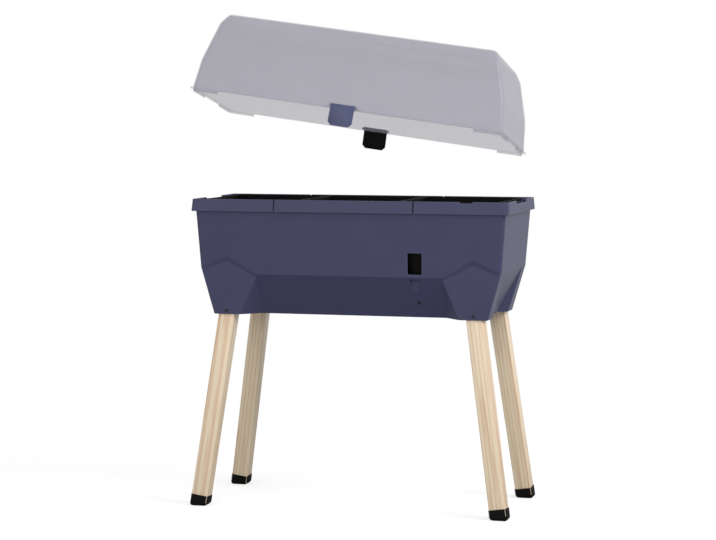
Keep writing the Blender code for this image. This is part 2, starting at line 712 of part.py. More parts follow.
def rim_size(z, low, high):
    """The rim's outer size at a height."""
    return along(z, (RIM_LOW_Z, low), (RIM_TOP_Z, high))


def rim_ring(name):
    """The whole rim as one ring: a skirt outside the tub, a plate over its edge and a raised lip."""
    ring = stack(
        name, [(RIM_LOW_Z, RIM_LOW_LENGTH, RIM_LOW_DEPTH), (RIM_TOP_Z, RIM_TOP_LENGTH, RIM_TOP_DEPTH)],
        RIM_CORNER, "slate")
    floor_z = RIM_TOP_Z - RIM_STEP
    rings = []
    for z in (RIM_LOW_Z - OVERRUN, floor_z - RIM_WALL):
        length = rim_size(z, RIM_LOW_LENGTH, RIM_TOP_LENGTH) - RIM_WALL
        depth = rim_size(z, RIM_LOW_DEPTH, RIM_TOP_DEPTH) - RIM_WALL
        rings.append((z, length, depth))
    under = stack(f"{name}_under", rings, RIM_CORNER - RIM_WALL)
    lip = [
        (z, RIM_TOP_LENGTH - RIM_LIP, RIM_TOP_DEPTH - RIM_LIP) for z in (floor_z, RIM_TOP_Z + OVERRUN)]
    rebate = stack(f"{name}_rebate", lip, RIM_CORNER - RIM_LIP)
    mouth = [
        (z, RIM_TOP_LENGTH - RIM_WIDTH, RIM_TOP_DEPTH - RIM_WIDTH)
        for z in (RIM_LOW_Z, RIM_TOP_Z + OVERRUN)]
    opening = stack(f"{name}_mouth", mouth, TRAY_CORNER)
    combine(ring, "DIFFERENCE", under, rebate, opening)
    for side, word in ((-1, "left"), (1, "right")):
        points = []
        for x in (RIM_TOP_LENGTH - RIM_WIDTH, RIM_TOP_LENGTH + OVERRUN):
            for z, half in ((RIM_TOP_Z - DIP_DEPTH, DIP_HALF), (RIM_TOP_Z + OVERRUN, DIP_HALF + DIP_SLOPE)):
                points.append((side * x, -half, z))
                points.append((side * x, half, z))
        combine(ring, "DIFFERENCE", hull(f"{name}_dip_{word}", points))
    return ring


def build_rim():
    """The ring parted into its four pieces, with a shallow notch in the right one's lip."""
    half_gap = SEAM_GAP / 2
    far_x = RIM_LOW_LENGTH + OVERRUN
    far_y = RIM_LOW_DEPTH + OVERRUN
    low, high = RIM_LOW_Z - OVERRUN, RIM_TOP_Z + OVERRUN
    spans = {
        "rim_left": ((-far_x, -far_y), (SEAM_LEFT_X - half_gap, far_y)),
        "rim_right": ((SEAM_RIGHT_X + half_gap, -far_y), (far_x, far_y)),
        "rim_front": ((SEAM_LEFT_X + half_gap, -far_y), (SEAM_RIGHT_X - half_gap, 0)),
        "rim_rear": ((SEAM_LEFT_X + half_gap, 0), (SEAM_RIGHT_X - half_gap, far_y)),
    }
    for name, (start_at, end_at) in spans.items():
        piece = rim_ring(name)
        span = box(f"{name}_span", (*start_at, low), (*end_at, high))
        combine(piece, "INTERSECT", span)
        if name == "rim_right":
            notch = box(
                "rim_notch", (NOTCH_X - NOTCH_HALF, -far_y, RIM_TOP_Z - NOTCH_DEPTH),
                (NOTCH_X + NOTCH_HALF, -(RIM_TOP_DEPTH - RIM_LIP - NOTCH_OVER), high))
            combine(piece, "DIFFERENCE", notch)


def tray_places():
    """Each tray's name, the middle of its mouth and the half length of its mouth."""
    mouth = TRAY_MOUTH_LENGTH
    between = TRAY_WALL * 2 + GAP * 2
    half = (mouth * 2 - between * (TRAY_COUNT - 1)) / TRAY_COUNT / 2
    for number, word in enumerate(("left", "middle", "right")):
        yield word, -mouth + half + number * (half * 2 + between), half


def build_trays():
    """The soil trays, with two rows of drains and two cups in each."""
    flange_top = TUB_TOP_Z + GAP + TRAY_FLANGE
    for word, middle, half in tray_places():
        low_z = TRAY_FLOOR_Z
        outer = [
            (low_z, half + TRAY_WALL - TRAY_DRAFT, TRAY_MOUTH_DEPTH + TRAY_WALL - TRAY_DRAFT),
            (flange_top, half + TRAY_WALL, TRAY_MOUTH_DEPTH + TRAY_WALL)]
        inner = [
            (low_z + TRAY_WALL, half - TRAY_DRAFT, TRAY_MOUTH_DEPTH - TRAY_DRAFT),
            (flange_top, half, TRAY_MOUTH_DEPTH),
            (flange_top + OVERRUN, half, TRAY_MOUTH_DEPTH)]
        tray = stack(f"soil_tray_{word}", outer, TRAY_CORNER + TRAY_WALL, "black", (middle, 0))
        inside = stack(f"tray_inside_{word}", inner, TRAY_CORNER, None, (middle, 0))
        edge = half + TRAY_WALL
        left, right = middle - edge, middle + edge
        reach = TOP_LENGTH - TRAY_FLANGE_INSET
        if word == "left":
            left = -reach
        if word == "right":
            right = reach
        flange = stack(
            f"tray_flange_{word}",
            [(z, (right - left) / 2, TOP_DEPTH - TRAY_FLANGE_INSET) for z in (TUB_TOP_Z + GAP, flange_top)],
            TRAY_WALL, None, ((left + right) / 2, 0))
        combine(tray, "UNION", flange)
        combine(tray, "DIFFERENCE", inside)
        spacing = (half - TRAY_DRAFT - DRAIN_END) * 2 / (DRAIN_COUNT - 1)
        for number in range(DRAIN_COUNT):
            offset = spacing * (number - (DRAIN_COUNT - 1) / 2)
            for side in (-1, 1):
                x, y = middle + offset, side * DRAIN_ROW_Y
                drain = box(
                    f"drain_{word}_{number}_{side}",
                    (x - DRAIN_HALF_LENGTH, y - DRAIN_HALF_WIDTH, low_z - OVERRUN),
                    (x + DRAIN_HALF_LENGTH, y + DRAIN_HALF_WIDTH, low_z + OVERRUN))
                combine(tray, "DIFFERENCE", drain)
        for side, place in ((-1, "front"), (1, "rear")):
            seat = Matrix.Translation((middle, side * CUP_Y, low_z))
            hole = rod(f"cup_hole_{word}_{place}", CUP_TOP + GAP, OVERRUN * 2, seat)
            combine(tray, "DIFFERENCE", hole)
            build_cup(f"{word}_{place}", middle, side * CUP_Y)


def build_cup(word, x, y):
    """A tapered cup that hangs by its flange on the tray's floor and stands in the water."""
    seat = TRAY_FLOOR_Z + TRAY_WALL + GAP
    top = seat + CUP_WALL
    floor = CUP_LOW_Z + CUP_WALL
    profile = [
        (0, floor), (CUP_LOW - CUP_WALL, floor), (CUP_TOP - CUP_WALL, top), (CUP_FLANGE, top),
        (CUP_FLANGE, seat), (CUP_TOP, seat), (CUP_LOW, CUP_LOW_Z), (0, CUP_LOW_Z)]
    cup = turned(f"wick_cup_{word}", profile, (x, y, 0), "black")
    low = CUP_LOW_Z + CUP_WALL * 2
    high = low + CUP_SLOT_HEIGHT
    half = CUP_SLOT_WIDTH / 2
    for number, (half_x, half_y) in enumerate(((CUP_TOP, half), (half, CUP_TOP))):
        slot = box(
            f"cup_slot_{word}_{number}", (x - half_x, y - half_y, low), (x + half_x, y + half_y, high))
        combine(cup, "DIFFERENCE", slot)


def build_chute():
    """A cover behind the window, open to the window and below."""
    low = SIDE_CREASE_Z + CHUTE_WALL
    high = WINDOW_HIGH_Z + CHUTE_MARGIN

    def corners(inset, lower, upper, forward):
        half = WINDOW_HALF + CHUTE_MARGIN - inset
        points = []
        for x in (WINDOW_X - half, WINDOW_X + half):
            for z in (lower, upper):
                back = along(z, (low, BEND_DEPTH - CHUTE_DEPTH_LOW), (high, BEND_DEPTH - CHUTE_DEPTH_TOP))
                points.append((x, -(back + inset), z))
                points.append((x, -side_depth(z) + TUB_WALL + GAP - forward, z))
        return points

    outer = corners(0, low, high, 0)
    inner = corners(CHUTE_WALL, low - OVERRUN, high - CHUTE_WALL, OVERRUN)
    chute = hull("filler_chute", outer, "black")
    combine(chute, "DIFFERENCE", hull("chute_inside", inner))


def build_plug():
    """The overflow plug: a flat head on the panel and a stem through the wall."""
    stem = OVERFLOW_RADIUS - GAP
    wall = TUB_WALL + PLUG_TAIL
    profile = [
        (0, GAP + PLUG_HEAD_HEIGHT), (PLUG_HEAD, GAP + PLUG_HEAD_HEIGHT), (PLUG_HEAD, GAP),
        (stem, GAP), (stem, -wall), (0, -wall)]
    plug = turned("overflow_plug", profile, (0, 0, 0), "black")
    plug.matrix_world = overflow_matrix()


def lid_base():
    """The height of the seated lid's lower edge."""
    return RIM_TOP_Z + GAP


def build_lid():
    """The clear dome with its flange, its corner feet and the lugs for the clips' pins."""
    base = lid_base()
    levels = (
        (0, LID_LOW_INSET_LENGTH, LID_LOW_INSET_DEPTH),
        (LID_BEND_RISE, LID_BEND_INSET_LENGTH, LID_BEND_INSET_DEPTH),
        (LID_SHOULDER_RISE, LID_SHOULDER_INSET_LENGTH, LID_SHOULDER_INSET_DEPTH),
        (LID_CROWN_RISE, LID_TOP_INSET_LENGTH, LID_TOP_INSET_DEPTH),
    )
    outer = []
    z = base
    for rise, inset_length, inset_depth in levels:
        z += rise
        outer.append((z, RIM_TOP_LENGTH - inset_length, RIM_TOP_DEPTH - inset_depth))
    inner = [(z, length - LID_WALL, depth - LID_WALL) for z, length, depth in outer]
    inner[-1] = (inner[-1][0] - LID_WALL, inner[-1][1], inner[-1][2])
    inner.insert(0, (base - OVERRUN, inner[0][1], inner[0][2]))
    lid = stack("lid", outer, LID_CORNER, "frosted")
    inside = stack("lid_inside", inner, LID_CORNER - LID_WALL)
    flange_length = RIM_TOP_LENGTH + LID_FLANGE_OVER
    flange = stack(
        "lid_flange", [(z, flange_length, RIM_TOP_DEPTH) for z in (base, base + LID_FLANGE)],
        LID_CORNER)
    hole_length = LID_LOW_LENGTH - LID_WALL - LID_LEDGE
    hole_depth = LID_LOW_DEPTH - LID_WALL - GAP
    flange_hole = stack(
        "lid_flange_hole",
        [(z, hole_length, hole_depth) for z in (base - OVERRUN, base + OVERRUN)], LID_CORNER - LID_WALL)
    combine(flange, "DIFFERENCE", flange_hole)
    combine(lid, "DIFFERENCE", inside)
    combine(lid, "UNION", flange, build_skirt(base))
    for side, word in ((-1, "front"), (1, "rear")):
        for end in (-1, 1):
            lug, hole = build_lug(f"{word}_{'left' if end < 0 else 'right'}", side, end)
            combine(lid, "UNION", lug)
            combine(lid, "DIFFERENCE", hole)
    return lid


def build_skirt(base):
    """The lid's corner feet, which drop inside the rim's lip."""
    length = RIM_TOP_LENGTH - RIM_LIP - SKIRT_CLEAR
    depth = LID_LOW_DEPTH - GAP
    band = [(z, length, depth) for z in (base - SKIRT_DROP, base + LID_FLANGE / 2)]
    low, high = base - SKIRT_DROP - OVERRUN, base + GAP
    inside = [(z, length - SKIRT_WALL, depth - SKIRT_WALL) for z in (low, base + LID_FLANGE)]
    skirt = stack("lid_skirt", band, LID_CORNER - LID_WALL)
    combine(skirt, "DIFFERENCE", stack("skirt_inside", inside, LID_CORNER - LID_WALL - SKIRT_WALL))
    long_gap = length - SKIRT_SIDE_LENGTH
    short_gap = depth - SKIRT_END_LENGTH
    far_x, far_y = length + OVERRUN, depth + OVERRUN
    middle = box("skirt_middle", (-long_gap, -far_y, low), (long_gap, far_y, high))
    ends = box("skirt_ends", (-far_x, -short_gap, low), (far_x, short_gap, high))
    combine(skirt, "DIFFERENCE", middle, ends)
    return skirt


def circle(radius, steps=ROUND_STEPS):
    """Points round a circle."""
    for step in range(steps):
        turn = 2 * math.pi * (step + 0.5) / steps
        yield radius * math.cos(turn), radius * math.sin(turn)


def build_lug(word, side, end):
    """One of the lid's two lugs beside a clip, and the pin's hole through it."""
    base = lid_base()
    near = CLIP_HALF + LUG_CLEAR
    points = []
    for x in (end * near, end * (near + LUG_THICK)):
        for y, z in circle(KNUCKLE):
            points.append((x, side * (PIN_Y + y), PIN_Z + z))
        for z in (base + LID_FLANGE / 2, PIN_Z + KNUCKLE):
            points.append((x, side * (LID_LOW_DEPTH - LID_WALL / 2), z))
    lug = hull(f"lug_{word}", points)
    place = Matrix.Translation((end * near, side * PIN_Y, PIN_Z)) @ facing((1, 0, 0))
    hole = rod(f"lug_hole_{word}", PIN_RADIUS + PIN_CLEAR, (LUG_THICK + OVERRUN) * 2, place)
    return lug, hole


def build_clip(word, side, finish):
    """A clip and its pin: a plate hung from a knuckle, with a hook that reaches under the rim's edge."""
    inner = PIN_Y + KNUCKLE - CLIP_THICK
    outer = PIN_Y + KNUCKLE
    plate = []
    for y in (inner, outer):
        for x in (-1, 1):
            plate.append((x * CLIP_HALF, side * y, PIN_Z))
            plate.append((x * CLIP_HALF, side * y, CLIP_LOW_Z + CLIP_CHAMFER))
            plate.append((x * (CLIP_HALF - CLIP_CHAMFER), side * y, CLIP_LOW_Z))
    clip = hull(f"{word}_clip", plate, finish)
    place = Matrix.Translation((0, side * PIN_Y, PIN_Z)) @ facing((1, 0, 0))
    knuckle = rod(f"{word}_knuckle", KNUCKLE, CLIP_HALF * 2, place)
    tip = RIM_LOW_DEPTH - HOOK_REACH
    hook = box(
        f"{word}_hook",
        (-HOOK_HALF, min(side * tip, side * (inner + GAP)), HOOK_LOW_Z),
        (HOOK_HALF, max(side * tip, side * (inner + GAP)), HOOK_HIGH_Z))
    hole = rod(f"{word}_clip_hole", PIN_RADIUS + PIN_CLEAR, (CLIP_HALF + OVERRUN) * 2, place)
    top = PIN_Z + KNUCKLE
    notch = box(
        f"{word}_notch",
        (CLIP_NOTCH_X - CLIP_NOTCH_HALF, side * PIN_Y - OVERRUN, top - CLIP_NOTCH_DEPTH),
        (CLIP_NOTCH_X + CLIP_NOTCH_HALF, side * PIN_Y + OVERRUN, top + OVERRUN))
    combine(clip, "UNION", knuckle, hook)
    combine(clip, "DIFFERENCE", hole, notch)
    pin_length = (CLIP_HALF + LUG_CLEAR + LUG_THICK) * 2
    return rod(f"{word}_clip_pin", PIN_RADIUS, pin_length, place, "steel")


def lift_lid():
    """Build the lid and its clips seated, hang them on empties and carry them to the lifted place."""
    lift_axis = empty_at("lift_off_axis", LIFT_POINT)
    rear_axis = empty_at("rear_pin_axis", (0, PIN_Y, PIN_Z))
    front_axis = empty_at("front_pin_axis", (0, -PIN_Y, PIN_Z))
    before = set(bpy.data.objects)
    build_lid()
    lid_shapes = set(bpy.data.objects) - before
    before = set(bpy.data.objects)
    build_clip("rear", 1, "black")
    rear_shapes = set(bpy.data.objects) - before
    before = set(bpy.data.objects)
    front_pin = build_clip("front", -1, "clip_blue")
    front_shapes = set(bpy.data.objects) - before - {front_pin}
    carry(front_axis, *front_shapes)
    carry(rear_axis, *lid_shapes, front_pin, front_axis)
    carry(lift_axis, *rear_shapes, rear_axis)
    rear_axis.rotation_euler = (-OPEN_ANGLE, 0, 0)
    lift_axis.rotation_mode = "QUATERNION"
    lift_axis.rotation_quaternion = Quaternion(LIFT_AXIS, LIFT_ANGLE)


def smooth(piece, angle):
    """Shade round pieces smooth and leave their edges sharp."""
    piece.data.shade_smooth()
    piece.data.set_sharp_from_angle(angle=angle)


build_tub()
build_legs()
build_rim()
build_trays()
build_chute()
build_plug()
lift_lid()
for item in PIECES.objects:
    if item.type == "MESH":
        smooth(item, SHARP_ANGLE)
print("pieces:", len([item for item in PIECES.objects if item.type == "MESH"]))
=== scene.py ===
# %% [markdown]
# A raised planter in Blender: the finish of every surface
#
# A self-watering planter stands on four splayed legs, with its clear lid lifted off and tilted
# above it. The construction comes as a frame of named solids at their real size. This lesson gives
# the pieces the soft moulded edges, the clear shell and the wood that the frame leaves out, and
# lights them as in a product photograph.

# %% Load the frame
import json
import math

import bmesh
import bpy
from mathutils import Matrix, Vector


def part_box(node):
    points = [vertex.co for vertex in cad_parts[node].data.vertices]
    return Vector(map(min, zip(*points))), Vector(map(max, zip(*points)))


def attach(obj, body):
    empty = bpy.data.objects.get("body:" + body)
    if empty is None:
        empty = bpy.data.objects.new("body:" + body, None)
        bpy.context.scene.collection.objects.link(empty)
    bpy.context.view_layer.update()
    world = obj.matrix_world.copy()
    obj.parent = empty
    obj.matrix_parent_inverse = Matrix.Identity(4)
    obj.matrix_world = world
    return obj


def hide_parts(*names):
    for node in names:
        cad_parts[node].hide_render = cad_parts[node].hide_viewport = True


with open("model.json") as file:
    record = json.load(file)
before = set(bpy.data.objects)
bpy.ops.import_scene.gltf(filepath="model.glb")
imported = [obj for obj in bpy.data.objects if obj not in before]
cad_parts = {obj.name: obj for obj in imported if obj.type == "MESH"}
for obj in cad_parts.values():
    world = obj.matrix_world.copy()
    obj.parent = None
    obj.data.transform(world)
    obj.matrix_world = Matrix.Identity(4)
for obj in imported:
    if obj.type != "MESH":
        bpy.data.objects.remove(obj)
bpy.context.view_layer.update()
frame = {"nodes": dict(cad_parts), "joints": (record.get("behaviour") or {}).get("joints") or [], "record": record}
bpy.ops.object.select_all(action="DESELECT")

# %% [markdown]
# Sizes come from the frame
#
# A piece that replaces a solid has to stand where the solid stands. So the tub's top and the rim's
# edges are read from the frame's boxes, and the legs' feet from its record. Only what these can't
# tell, such as the height where the tub's wall bends, is a named value here. Lengths are in metres
# and angles in degrees. OVERRUN is how far a cutter reaches past what it cuts, and GAP is the play
# between two pieces.

# %% Read the main sizes
TUB_LOW, TUB_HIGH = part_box("tub")
RIM_LOW, RIM_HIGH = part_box("rim_right")
TOP_LENGTH = TUB_HIGH.x
TOP_DEPTH = TUB_HIGH.y
FLOOR_Z = TUB_LOW.z
EDGE_Z = TUB_HIGH.z
RIM_SPAN = RIM_HIGH.x
RIM_DEPTH = RIM_HIGH.y
RIM_BASE_Z = RIM_LOW.z
RIM_TOP_Z = RIM_HIGH.z
OVERRUN = 0.010
GAP = 0.0003
print("tub", [round(v, 4) for v in (*TUB_LOW, *TUB_HIGH)])
print("rim", round(RIM_SPAN, 4), round(RIM_DEPTH, 4))

# %% [markdown]
# Working as by hand
#
# Every step below is what a person would do in the viewport: add a primitive, go into edit mode,
# select some faces or edges, and extrude, scale or bevel them. The selections are made in code, by
# where a face or an edge lies. A few small helpers keep those steps short.

# %% Select, edit and finish
JOIN = 0.00002
FLAT_ANGLE = 0.2
SMOOTH_ANGLE = 40
SOFTEN_ANGLE = 24
SQUARE_ANGLE = 60
FLAT_WEIGHT = 80
FACING = 0.5
ROUND_PROFILE = 0.5
CORNER_STEPS = 8


def only(piece):
    """Make one object the selected and active one."""
    bpy.ops.object.select_all(action="DESELECT")
    piece.select_set(True)
    bpy.context.view_layer.objects.active = piece


def editing(piece, kind="EDGE"):
    """Go into edit mode on a piece with nothing selected."""
    only(piece)
    bpy.ops.object.mode_set(mode="EDIT")
    bpy.ops.mesh.select_mode(type=kind)
    bpy.ops.mesh.select_all(action="DESELECT")


def select(piece, kind, test):
    """Select the verts, edges or faces for which the test holds."""
    bpy.ops.mesh.select_mode(type={"verts": "VERT", "edges": "EDGE", "faces": "FACE"}[kind])
    bpy.ops.mesh.select_all(action="DESELECT")
    mesh = bmesh.from_edit_mesh(piece.data)
    for item in getattr(mesh, kind):
        if test(item):
            item.select_set(True)
    mesh.select_flush_mode()
    bmesh.update_edit_mesh(piece.data)


def done(piece):
    """Leave edit mode and bake the object's place into its mesh."""
    bpy.ops.object.mode_set(mode="OBJECT")
    only(piece)
    bpy.ops.object.transform_apply(location=True, rotation=True, scale=True)
    return piece


def apply(piece, kind, **settings):
    """Add a modifier, set it and apply it."""
    only(piece)
    modifier = piece.modifiers.new(kind.lower(), kind)
    for key, value in settings.items():
        setattr(modifier, key, value)
    bpy.ops.object.modifier_apply(modifier=modifier.name)


def cut(piece, *cutters, operation="DIFFERENCE"):
    """Cut, join or intersect a piece with others, which are used up."""
    for cutter in cutters:
        apply(piece, "BOOLEAN", operation=operation, solver="EXACT", object=cutter)
        bpy.data.objects.remove(cutter, do_unlink=True)


def clean(piece, merge=JOIN):
    """Merge doubles, join flat faces and turn every face outwards."""
    editing(piece)
    bpy.ops.mesh.select_all(action="SELECT")
    bpy.ops.mesh.remove_doubles(threshold=merge)
    bpy.ops.mesh.dissolve_limited(angle_limit=math.radians(FLAT_ANGLE))
    bpy.ops.mesh.normals_make_consistent(inside=False)
    bpy.ops.object.mode_set(mode="OBJECT")


def smooth(piece):
    """Shade a piece smooth, with its corners kept sharp."""
    only(piece)
    bpy.ops.object.shade_smooth_by_angle(angle=math.radians(SMOOTH_ANGLE))


def soften(piece, width, segments=3, angle=SOFTEN_ANGLE):
    """Round the sharp edges and shade the rest smooth."""
    apply(
        piece, "BEVEL", limit_method="ANGLE", angle_limit=math.radians(angle), width=width,
        segments=segments, use_clamp_overlap=True, miter_outer="MITER_ARC")
    smooth(piece)


def even_shading(piece):
    """Shade smooth, with the large faces deciding, so that they look flat up to their edges."""
    smooth(piece)
    apply(piece, "WEIGHTED_NORMAL", mode="FACE_AREA", weight=FLAT_WEIGHT, keep_sharp=True)


def report(piece):
    """Say how large a finished piece's mesh is."""
    low = [round(min(v.co[axis] for v in piece.data.vertices), 4) for axis in range(3)]
    high = [round(max(v.co[axis] for v in piece.data.vertices), 4) for axis in range(3)]
    print(piece.name, len(piece.data.polygons), "faces", low, high)


# %% [markdown]
# A block drawn up through levels
#
# The tub, the rim, the lid and the trays are all drawn up from a rectangle that widens or narrows
# from level to level, with rounded upright edges. One cube does it: its lower face is scaled to the
# first level, its top face to the second, and each further level extrudes the top face and scales
# it. The upright edges are then bevelled together, so that the corners stay round all the way up.


# %% Draw up a block
def drawn_block(name, levels, corner=0, steps=CORNER_STEPS, centre=(0, 0)):
    """A cube drawn up through (height, half length, half depth) levels, with rounded corners."""
    bpy.ops.object.select_all(action="DESELECT")
    (z0, x0, y0), (z1, x1, y1) = levels[:2]
    bpy.ops.mesh.primitive_cube_add(size=2, location=(centre[0], centre[1], (z0 + z1) / 2))
    block = bpy.context.object
    block.name = name
    block.scale = (x0, y0, (z1 - z0) / 2)
    bpy.ops.object.transform_apply(location=True, rotation=False, scale=True)
    block.data.name = name
    editing(block, "FACE")
    select(block, "faces", lambda face: face.normal.z > FACING)
    pivot = (*centre, z1)
    bpy.ops.transform.resize(value=(x1 / x0, y1 / y0, 1), center_override=pivot)
    for below, above in zip(levels[1:], levels[2:]):
        rise = above[0] - below[0]
        bpy.ops.mesh.extrude_region_move(TRANSFORM_OT_translate={"value": (0, 0, rise)})
        wider = (above[1] / below[1], above[2] / below[2], 1)
        bpy.ops.transform.resize(value=wider, center_override=(*centre, above[0]))
    if corner:
        def upright(edge):
            a, b = (vert.co for vert in edge.verts)
            same_x = (a.x - centre[0]) * (b.x - centre[0]) > 0
            return same_x and (a.y - centre[1]) * (b.y - centre[1]) > 0
        select(block, "edges", upright)
        bpy.ops.mesh.bevel(
            offset=corner, offset_type="OFFSET", segments=steps, profile=ROUND_PROFILE)
    bpy.ops.object.mode_set(mode="OBJECT")
    return block


def wedge(name, points):
    """The convex block round some corner points, which take the place of a cube's corners."""
    bpy.ops.object.select_all(action="DESELECT")
    bpy.ops.mesh.primitive_cube_add(size=1)
    block = bpy.context.object
    block.name = name
    bpy.ops.object.mode_set(mode="EDIT")
    mesh = bmesh.from_edit_mesh(block.data)
    spare = list(mesh.verts)
    for point in points:
        mesh.verts.new(point)
    bmesh.ops.delete(mesh, geom=spare, context="VERTS")
    bmesh.update_edit_mesh(block.data)
    bpy.ops.mesh.select_all(action="SELECT")
    bpy.ops.mesh.convex_hull()
    bpy.ops.mesh.normals_make_consistent(inside=False)
    bpy.ops.object.mode_set(mode="OBJECT")
    return block


def block_between(name, low, high):
    """A plain block between two opposite corners."""
    middle = (Vector(low) + Vector(high)) / 2
    half = (Vector(high) - Vector(low)) / 2
    levels = [(middle.z + end * half.z, abs(half.x), abs(half.y)) for end in (-1, 1)]
    return drawn_block(name, levels, centre=middle.xy)


def straight(value, low, high):
    """The straight line through two (place, size) pairs, read at a place."""
    return low[1] + (value - low[0]) / (high[0] - low[0]) * (high[1] - low[1])


# %% [markdown]
# The tub
#
# The tub is one moulding. Above a bend its walls lean out a little, and below it sloped panels run
# in between four corner pockets that take the legs. The way to make it is the way its mould is cut:
# a drawn block for the whole, then one wedge for each sloped panel and one for the long face of
# each pocket.

# %% Tub sizes
BEND_Z = FLOOR_Z + 0.1125
WALL_TOP_Z = BEND_Z + 0.135
SIDE_CREASE_Z = BEND_Z - 0.014
END_CREASE_Z = BEND_Z - 0.0015
PANEL_LOW_Z = FLOOR_Z + 0.0035
BEND_LENGTH = TOP_LENGTH - 0.0105
BEND_DEPTH = TOP_DEPTH - 0.004
POCKET_LENGTH = BEND_LENGTH - 0.0325
POCKET_DEPTH = BEND_DEPTH - 0.002
SIDE_PANEL_HALF = POCKET_LENGTH - 0.110
SIDE_PANEL_DEPTH = POCKET_DEPTH - 0.043
END_PANEL_LENGTH = POCKET_LENGTH - 0.020
END_PANEL_LOW_HALF = POCKET_DEPTH - 0.078
END_PANEL_TOP_HALF = TOP_DEPTH - 0.047
TENT_TOP_X = TOP_LENGTH - 0.0790
TENT_TOP_Z = BEND_Z + 0.0305
TENT_END_Z = BEND_Z + 0.001
LEDGE_SHARE = 4.6
FLARE_SHARE = 0.94
TUB_CORNER = 0.008
TUB_WALL = 0.004
MOULD_EDGE = 0.0012
print("bend at", round(BEND_Z, 4))
print("pockets", round(POCKET_LENGTH, 4), "by", round(POCKET_DEPTH, 4))


# %% Where the tub's faces lie
def side_out(z):
    """How far out the long sides lie."""
    if z < BEND_Z:
        return straight(z, (FLOOR_Z, POCKET_DEPTH), (BEND_Z, BEND_DEPTH))
    return straight(z, (BEND_Z, BEND_DEPTH), (WALL_TOP_Z, TOP_DEPTH))


def end_out(z):
    """How far out the ends lie above the bend, and on the same line below it."""
    return straight(z, (BEND_Z, BEND_LENGTH), (WALL_TOP_Z, TOP_LENGTH))


def side_panel_out(z):
    """How far out a long side's sloped panel lies."""
    return straight(z, (PANEL_LOW_Z, SIDE_PANEL_DEPTH), (SIDE_CREASE_Z, side_out(SIDE_CREASE_Z)))


def end_panel_out(z):
    """How far out an end's sloped panel lies."""
    return straight(z, (PANEL_LOW_Z, END_PANEL_LENGTH), (END_CREASE_Z, end_out(END_CREASE_Z)))


def end_panel_half(z):
    """Half the width of an end's sloped panel."""
    return straight(z, (PANEL_LOW_Z, END_PANEL_LOW_HALF), (END_CREASE_Z, END_PANEL_TOP_HALF))


# %% Cutters for the panels and the pockets
def panel_cutter(name, crease, out, half_at, turn):
    """The wedge outside one sloped panel. Its ends widen outwards into the pockets."""
    far = out(crease) + OVERRUN
    points = []
    for z in (FLOOR_Z - OVERRUN, crease):
        depth, half = out(z), half_at(z)
        flared = half + FLARE_SHARE * (far - depth)
        for side in (-1, 1):
            points += [turn(side * half, depth, z), turn(side * flared, far, z)]
    return wedge(name, points)


def tent_cutter(name, end, turn):
    """The space under the pointed ledge on a pocket's long face."""
    far_x = TOP_LENGTH + OVERRUN
    tent = (
        (SIDE_PANEL_HALF, SIDE_CREASE_Z),
        (TENT_TOP_X, TENT_TOP_Z),
        (far_x, straight(far_x, (TENT_TOP_X, TENT_TOP_Z), (BEND_LENGTH, TENT_END_Z))),
    )
    points = []
    for depth in (POCKET_DEPTH, TOP_DEPTH + OVERRUN):
        for x, z in tent:
            points.append(turn(end * x, depth, z + LEDGE_SHARE * (depth - side_out(z))))
        for x in (SIDE_PANEL_HALF, far_x):
            points.append(turn(end * x, depth, FLOOR_Z - OVERRUN))
    return wedge(name, points)


# %% Cut the tub's outside
tub = drawn_block("tub_shell", [
    (FLOOR_Z, POCKET_LENGTH, POCKET_DEPTH),
    (BEND_Z, BEND_LENGTH, BEND_DEPTH),
    (WALL_TOP_Z, TOP_LENGTH, TOP_DEPTH),
    (EDGE_Z, TOP_LENGTH, TOP_DEPTH)], TUB_CORNER)
for side in (-1, 1):
    def to_side(x, y, z, side=side):
        return (x, side * y, z)

    def to_end(y, x, z, side=side):
        return (side * x, y, z)

    cut(
        tub,
        panel_cutter("side_cut", SIDE_CREASE_Z, side_panel_out, lambda z: SIDE_PANEL_HALF, to_side),
        panel_cutter("end_cut", END_CREASE_Z, end_panel_out, end_panel_half, to_end))
    for other in (-1, 1):
        cut(tub, tent_cutter("tent_cut", other, to_side))
report(tub)

# %% [markdown]
# The groove and the soft mould edges
#
# A pointed groove below the window leads the eye to the overflow. It is sunk before the edges are
# rounded, so that its own edges are rounded with the rest. Points that lie closer than 0.6 mm are
# merged first, because a Bevel modifier stops at the shortest edge that it meets.

# %% Sink the groove and round the edges
WINDOW_X = SIDE_PANEL_HALF - 0.0664
GROOVE_TOP_Z = SIDE_CREASE_Z - 0.005
GROOVE_TIP_Z = GROOVE_TOP_Z - 0.0515
GROOVE_LEFT_X = WINDOW_X - 0.0152
GROOVE_RIGHT_X = WINDOW_X + 0.0128
GROOVE_DEPTH = 0.009
GROOVE_SIDE = 0.005
OVERFLOW_X = WINDOW_X + 0.0052
SHORT_EDGE = 0.0006
CREASE_ANGLE = 12


def groove_points(margin, reach):
    """The pointed groove, or with a margin the thicker wall behind it."""
    deep = side_panel_out(GROOVE_TOP_Z)
    share = reach / GROOVE_DEPTH
    top = GROOVE_TOP_Z + margin
    points = []
    for side, edge in ((-1, GROOVE_LEFT_X - margin), (1, GROOVE_RIGHT_X + margin)):
        points.append((edge - side * GROOVE_SIDE, -(deep - GROOVE_DEPTH - margin), top))
        points.append((edge + side * share * GROOVE_SIDE, -(deep + reach), top))
    tip = GROOVE_TIP_Z - margin - share * (GROOVE_TOP_Z - GROOVE_TIP_Z)
    points.append((OVERFLOW_X, -(side_panel_out(GROOVE_TIP_Z) - margin + reach), tip))
    return points


cut(tub, wedge("groove_cut", groove_points(0, GROOVE_SIDE)))
clean(tub, SHORT_EDGE)
soften(tub, MOULD_EDGE, angle=CREASE_ANGLE)
report(tub)

